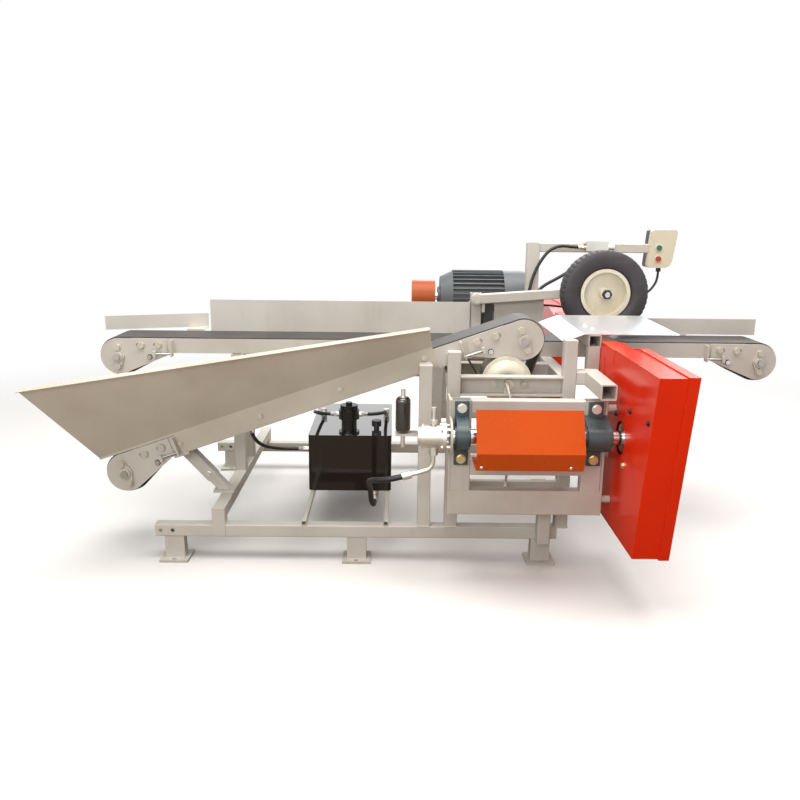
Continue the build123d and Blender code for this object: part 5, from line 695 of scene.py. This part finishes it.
# hoses and cables: one smooth spline each through the route's own points
hoses = {
    "pumpHose": {
        "node": "pump_hose", "radius": 0.011, "look": "hoseRubber", "body": "frame",
        "stiffness": "stiff", "lay": "hanging", "length": 0.707, "crimped": (1,),
        "points": [
            (-0.1228, -0.8100, 0.4332), (-0.1634, -0.8100, 0.4222), (-0.2020, -0.7940, 0.4130), (-0.2320, -0.7640, 0.4020),
            (-0.2480, -0.7250, 0.3870), (-0.2520, -0.6780, 0.3660), (-0.2520, -0.6280, 0.3380), (-0.2500, -0.5780, 0.3060),
            (-0.2490, -0.5300, 0.2690), (-0.2490, -0.4850, 0.2310), (-0.2480, -0.4370, 0.1950), (-0.2440, -0.3900, 0.1650),
            (-0.2410, -0.3430, 0.1460), (-0.2400, -0.3000, 0.1400), (-0.2400, -0.2620, 0.1400),
        ],
    },
    "tankHose": {
        "node": "tank_hoses", "radius": 0.008, "look": "hoseRubber", "body": "frame",
        "stiffness": "medium", "lay": "hanging", "length": 0.312, "crimped": (0, 1),
        "points": [
            (-0.5540, -0.2000, 0.3522), (-0.5920, -0.2000, 0.3522), (-0.6280, -0.2070, 0.3540), (-0.6620, -0.2230, 0.3600),
            (-0.6940, -0.2470, 0.3710), (-0.7200, -0.2700, 0.3840), (-0.7420, -0.2890, 0.4020), (-0.7570, -0.3010, 0.4240),
            (-0.7693, -0.3055, 0.4504), (-0.7792, -0.3055, 0.4787),
        ],
    },
    "filterHoseLeft": {
        "node": "tank_hoses", "radius": 0.008, "look": "hoseRubber", "body": "frame",
        "stiffness": "medium", "lay": "hanging", "length": 0.358, "crimped": (0, 1),
        "points": [
            (-0.4110, -0.1900, 0.5120), (-0.4460, -0.1900, 0.5120), (-0.4790, -0.1770, 0.5110), (-0.5040, -0.1520, 0.5090),
            (-0.5160, -0.1190, 0.5030), (-0.5170, -0.0820, 0.4940), (-0.5130, -0.0420, 0.4810), (-0.5070, -0.0020, 0.4670),
            (-0.5000, 0.0340, 0.4540), (-0.4940, 0.0620, 0.4470), (-0.4940, 0.0900, 0.4470),
        ],
    },
    "filterHoseRight": {
        "node": "tank_hoses", "radius": 0.008, "look": "hoseRubber", "body": "frame",
        "stiffness": "medium", "lay": "hanging", "length": 0.358, "crimped": (0, 1),
        "points": [
            (-0.3010, -0.1900, 0.5120), (-0.2660, -0.1900, 0.5120), (-0.2330, -0.1770, 0.5110), (-0.2080, -0.1520, 0.5090),
            (-0.1960, -0.1190, 0.5030), (-0.1940, -0.0820, 0.4940), (-0.1960, -0.0420, 0.4810), (-0.1960, -0.0020, 0.4670),
            (-0.1940, 0.0340, 0.4540), (-0.1930, 0.0620, 0.4470), (-0.1930, 0.0900, 0.4470),
        ],
    },
    "mastHoseTop": {
        "node": "mast_hoses", "radius": 0.008, "look": "hoseRubber", "body": "frame",
        "stiffness": "medium", "lay": "loose", "length": 0.64, "crimped": (0, 1),
        "points": [
            (0.5110, 0.3930, 0.7850), (0.5110, 0.3930, 0.8400), (0.5120, 0.3960, 0.9000), (0.5140, 0.4000, 0.9650),
            (0.5220, 0.4030, 1.0300), (0.5380, 0.4060, 1.0900), (0.5640, 0.4090, 1.1460), (0.5980, 0.4120, 1.1960),
            (0.6320, 0.4150, 1.2220), (0.6770, 0.4180, 1.2340), (0.7330, 0.4205, 1.2260), (0.7840, 0.4205, 1.2260),
        ],
    },
    "mastHoseLow": {
        "node": "mast_hoses", "radius": 0.008, "look": "hoseRubber", "body": "frame",
        "stiffness": "medium", "lay": "loose", "length": 0.56, "crimped": (0, 1),
        "points": [
            (0.5370, 0.3930, 0.7850), (0.5370, 0.3930, 0.8400), (0.5375, 0.3950, 0.8930), (0.5400, 0.3990, 0.9400),
            (0.5480, 0.4020, 0.9820), (0.5690, 0.4050, 1.0160), (0.6040, 0.4070, 1.0430), (0.6500, 0.4090, 1.0670),
            (0.7000, 0.4120, 1.0960), (0.7420, 0.4150, 1.1280), (0.7800, 0.4180, 1.1520), (0.8180, 0.4205, 1.1675),
            (0.8580, 0.4205, 1.1675),
        ],
    },
    "controlCable": {
        "node": "control_cable", "radius": 0.006, "look": "hoseRubber", "body": "frame",
        "stiffness": "limp", "lay": "hanging", "length": 0.702, "crimped": (),
        "points": [
            (1.1815, 0.4680, 1.1060), (1.1815, 0.4680, 1.0700), (1.1660, 0.4670, 1.0340), (1.1380, 0.4660, 1.0020),
            (1.0960, 0.4640, 0.9760), (1.0440, 0.4630, 0.9560), (0.9880, 0.4620, 0.9400), (0.9300, 0.4610, 0.9290),
            (0.8700, 0.4600, 0.9220), (0.8100, 0.4600, 0.9190), (0.7500, 0.4600, 0.9200), (0.6920, 0.4600, 0.9240),
            (0.6340, 0.4600, 0.9310), (0.5680, 0.4600, 0.9310),
        ],
    },
    "tensionLine": {
        "node": "tension_line", "radius": 0.005, "look": "paleHose", "body": "frame",
        "stiffness": "medium", "lay": "hanging", "length": 0.462, "crimped": (0, 1),
        "points": [
            (0.2820, -0.5915, 0.7380), (0.2820, -0.6150, 0.7380), (0.2830, -0.6380, 0.7300), (0.2860, -0.6550, 0.7130),
            (0.2910, -0.6640, 0.6910), (0.2990, -0.6650, 0.6520), (0.3050, -0.6620, 0.6050), (0.3080, -0.6560, 0.5500),
            (0.3070, -0.6490, 0.4950), (0.3030, -0.6420, 0.4450), (0.2970, -0.6320, 0.4020), (0.2900, -0.6220, 0.3690),
            (0.2900, -0.6220, 0.3270),
        ],
    },
}


def crimpedEnd(points, end, radius):
    # ringed ferrule and hex nut over the straight end of a hose
    first, second = (points[0], points[1]) if end == 0 else (points[-1], points[-2])
    start, way = np.array(first) / mm, np.array(second) - np.array(first)
    r = radius / mm
    ridges = [(11 + 1.5 * k, r + (1.4 if k % 2 else 0.6)) for k in range(10)]
    rings = [(9, 0), (9, r + 1.4)] + ridges + [(27, r + 0.3), (27, 0)]
    nut = [(0, 0), (0, r + 3.2), (1, r + 3.8), (8, r + 3.8), (9, r + 3.2), (9, 0)]
    return [turned(rings, start, way, 28), turned(nut, start, way, 6)]


def layHose(name, values):
    data = bpy.data.curves.new(name, "CURVE")
    data.dimensions = "3D"
    data.bevel_depth = values["radius"]
    data.bevel_resolution = 6
    data.resolution_u = 12
    data.use_fill_caps = True
    spline = data.splines.new("NURBS")
    spline.points.add(len(values["points"]) - 1)
    flat = np.column_stack((np.array(values["points"]), np.ones(len(values["points"]))))
    spline.points.foreach_set("co", flat.ravel())
    spline.order_u = 3
    spline.use_endpoint_u = True
    hose = bpy.data.objects.new(name, data)
    scene.collection.objects.link(hose)
    data.materials.append(looks[values["look"]])
    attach(hose, values["body"])
    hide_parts(values["node"])
    grids = [grid for end in values["crimped"] for grid in crimpedEnd(values["points"], end, values["radius"])]
    ends = [makePiece(name + "Ends", grids, "paleZinc", values["body"])] if grids else []


for name, values in hoses.items():
    layHose(name, values)
print("hoses laid:", len(hoses))

# plain pale floor: white to the camera far out, warm and duller for the light that bounces up
stageSet = {"reach": 14.0, "near": 2.2, "far": 5.0, "seen": (0.90, 0.89, 0.87), "bounce": (0.25, 0.20, 0.145)}


def makeFloor(values):
    reach = values["reach"]
    mesh = bpy.data.meshes.new("floor")
    corners = [(-reach, -reach, 0), (reach, -reach, 0), (reach, reach, 0), (-reach, reach, 0)]
    mesh.from_pydata(corners, [], [(0, 1, 2, 3)])
    floor = bpy.data.objects.new("floor", mesh)
    scene.collection.objects.link(floor)
    paint = bpy.data.materials.new("floorPale")
    paint.use_nodes = True
    tree = paint.node_tree
    shader = tree.nodes["Principled BSDF"]
    shader.inputs["Roughness"].default_value = 0.8
    path = newNode(tree, "ShaderNodeLightPath")
    tone = blendColour(tree, path.outputs["Is Camera Ray"], (*values["bounce"], 1), (*values["seen"], 1))
    put(tree, shader.inputs["Base Color"], tone)
    glow = newNode(tree, "ShaderNodeEmission")
    far = newNode(tree, "ShaderNodeVectorMath", operation="LENGTH")
    put(tree, far.inputs[0], objectSpace(tree))
    mix = newNode(tree, "ShaderNodeMixShader")
    put(tree, mix.inputs[0], window(tree, far.outputs["Value"], values["near"], values["far"]))
    put(tree, mix.inputs[1], shader.outputs[0])
    put(tree, mix.inputs[2], glow.outputs[0])
    put(tree, tree.nodes["Material Output"].inputs["Surface"], mix.outputs[0])
    mesh.materials.append(paint)


makeFloor(stageSet)

# soft studio light: a wide panel overhead, a weaker one in front, even surroundings
lightSet = {
    "surround": 0.30,
    "panels": {
        "overhead": {
            "at": (0.2, -0.6, 4.4), "aim": (0.0, 0.0, 0.6),
            "size": (5.5, 3.6), "power": 290.0, "tint": (1.0, 0.97, 0.93),
        },
        "front": {
            "at": (-1.6, -5.2, 2.6), "aim": (0.0, 0.0, 0.6),
            "size": (4.0, 2.2), "power": 108.0, "tint": (1.0, 0.98, 0.95),
        },
        "back": {
            "at": (1.5, 4.5, 3.2), "aim": (0.0, 0.0, 0.7),
            "size": (4.0, 2.0), "power": 80.0, "tint": (0.97, 0.98, 1.0),
        },
    },
}


def makeLights(values):
    for name, panel in values["panels"].items():
        data = bpy.data.lights.new(name, "AREA")
        data.shape = "RECTANGLE"
        data.size, data.size_y = panel["size"]
        data.energy = panel["power"]
        data.color = panel["tint"]
        lamp = bpy.data.objects.new(name, data)
        aim = Vector(panel["aim"]) - Vector(panel["at"])
        turn = aim.to_track_quat("-Z", "Y").to_matrix()
        lamp.matrix_world = Matrix.Translation(panel["at"]) @ turn.to_4x4()
        scene.collection.objects.link(lamp)
    world = bpy.data.worlds.new("surround")
    scene.world = world
    world.use_nodes = True
    tree = world.node_tree
    back = tree.nodes["Background"]
    path = newNode(tree, "ShaderNodeLightPath")
    seen = math(tree, "ADD", path.outputs["Is Camera Ray"], path.outputs["Is Glossy Ray"])
    seen = math(tree, "ADD", seen, path.outputs["Is Transmission Ray"], True)
    level = math(tree, "MULTIPLY", seen, 1.0 - values["surround"])
    put(tree, back.inputs["Strength"], math(tree, "ADD", level, values["surround"]))
    back.inputs["Color"].default_value = (1.0, 1.0, 1.0, 1.0)


makeLights(lightSet)
print("stage and lights set")
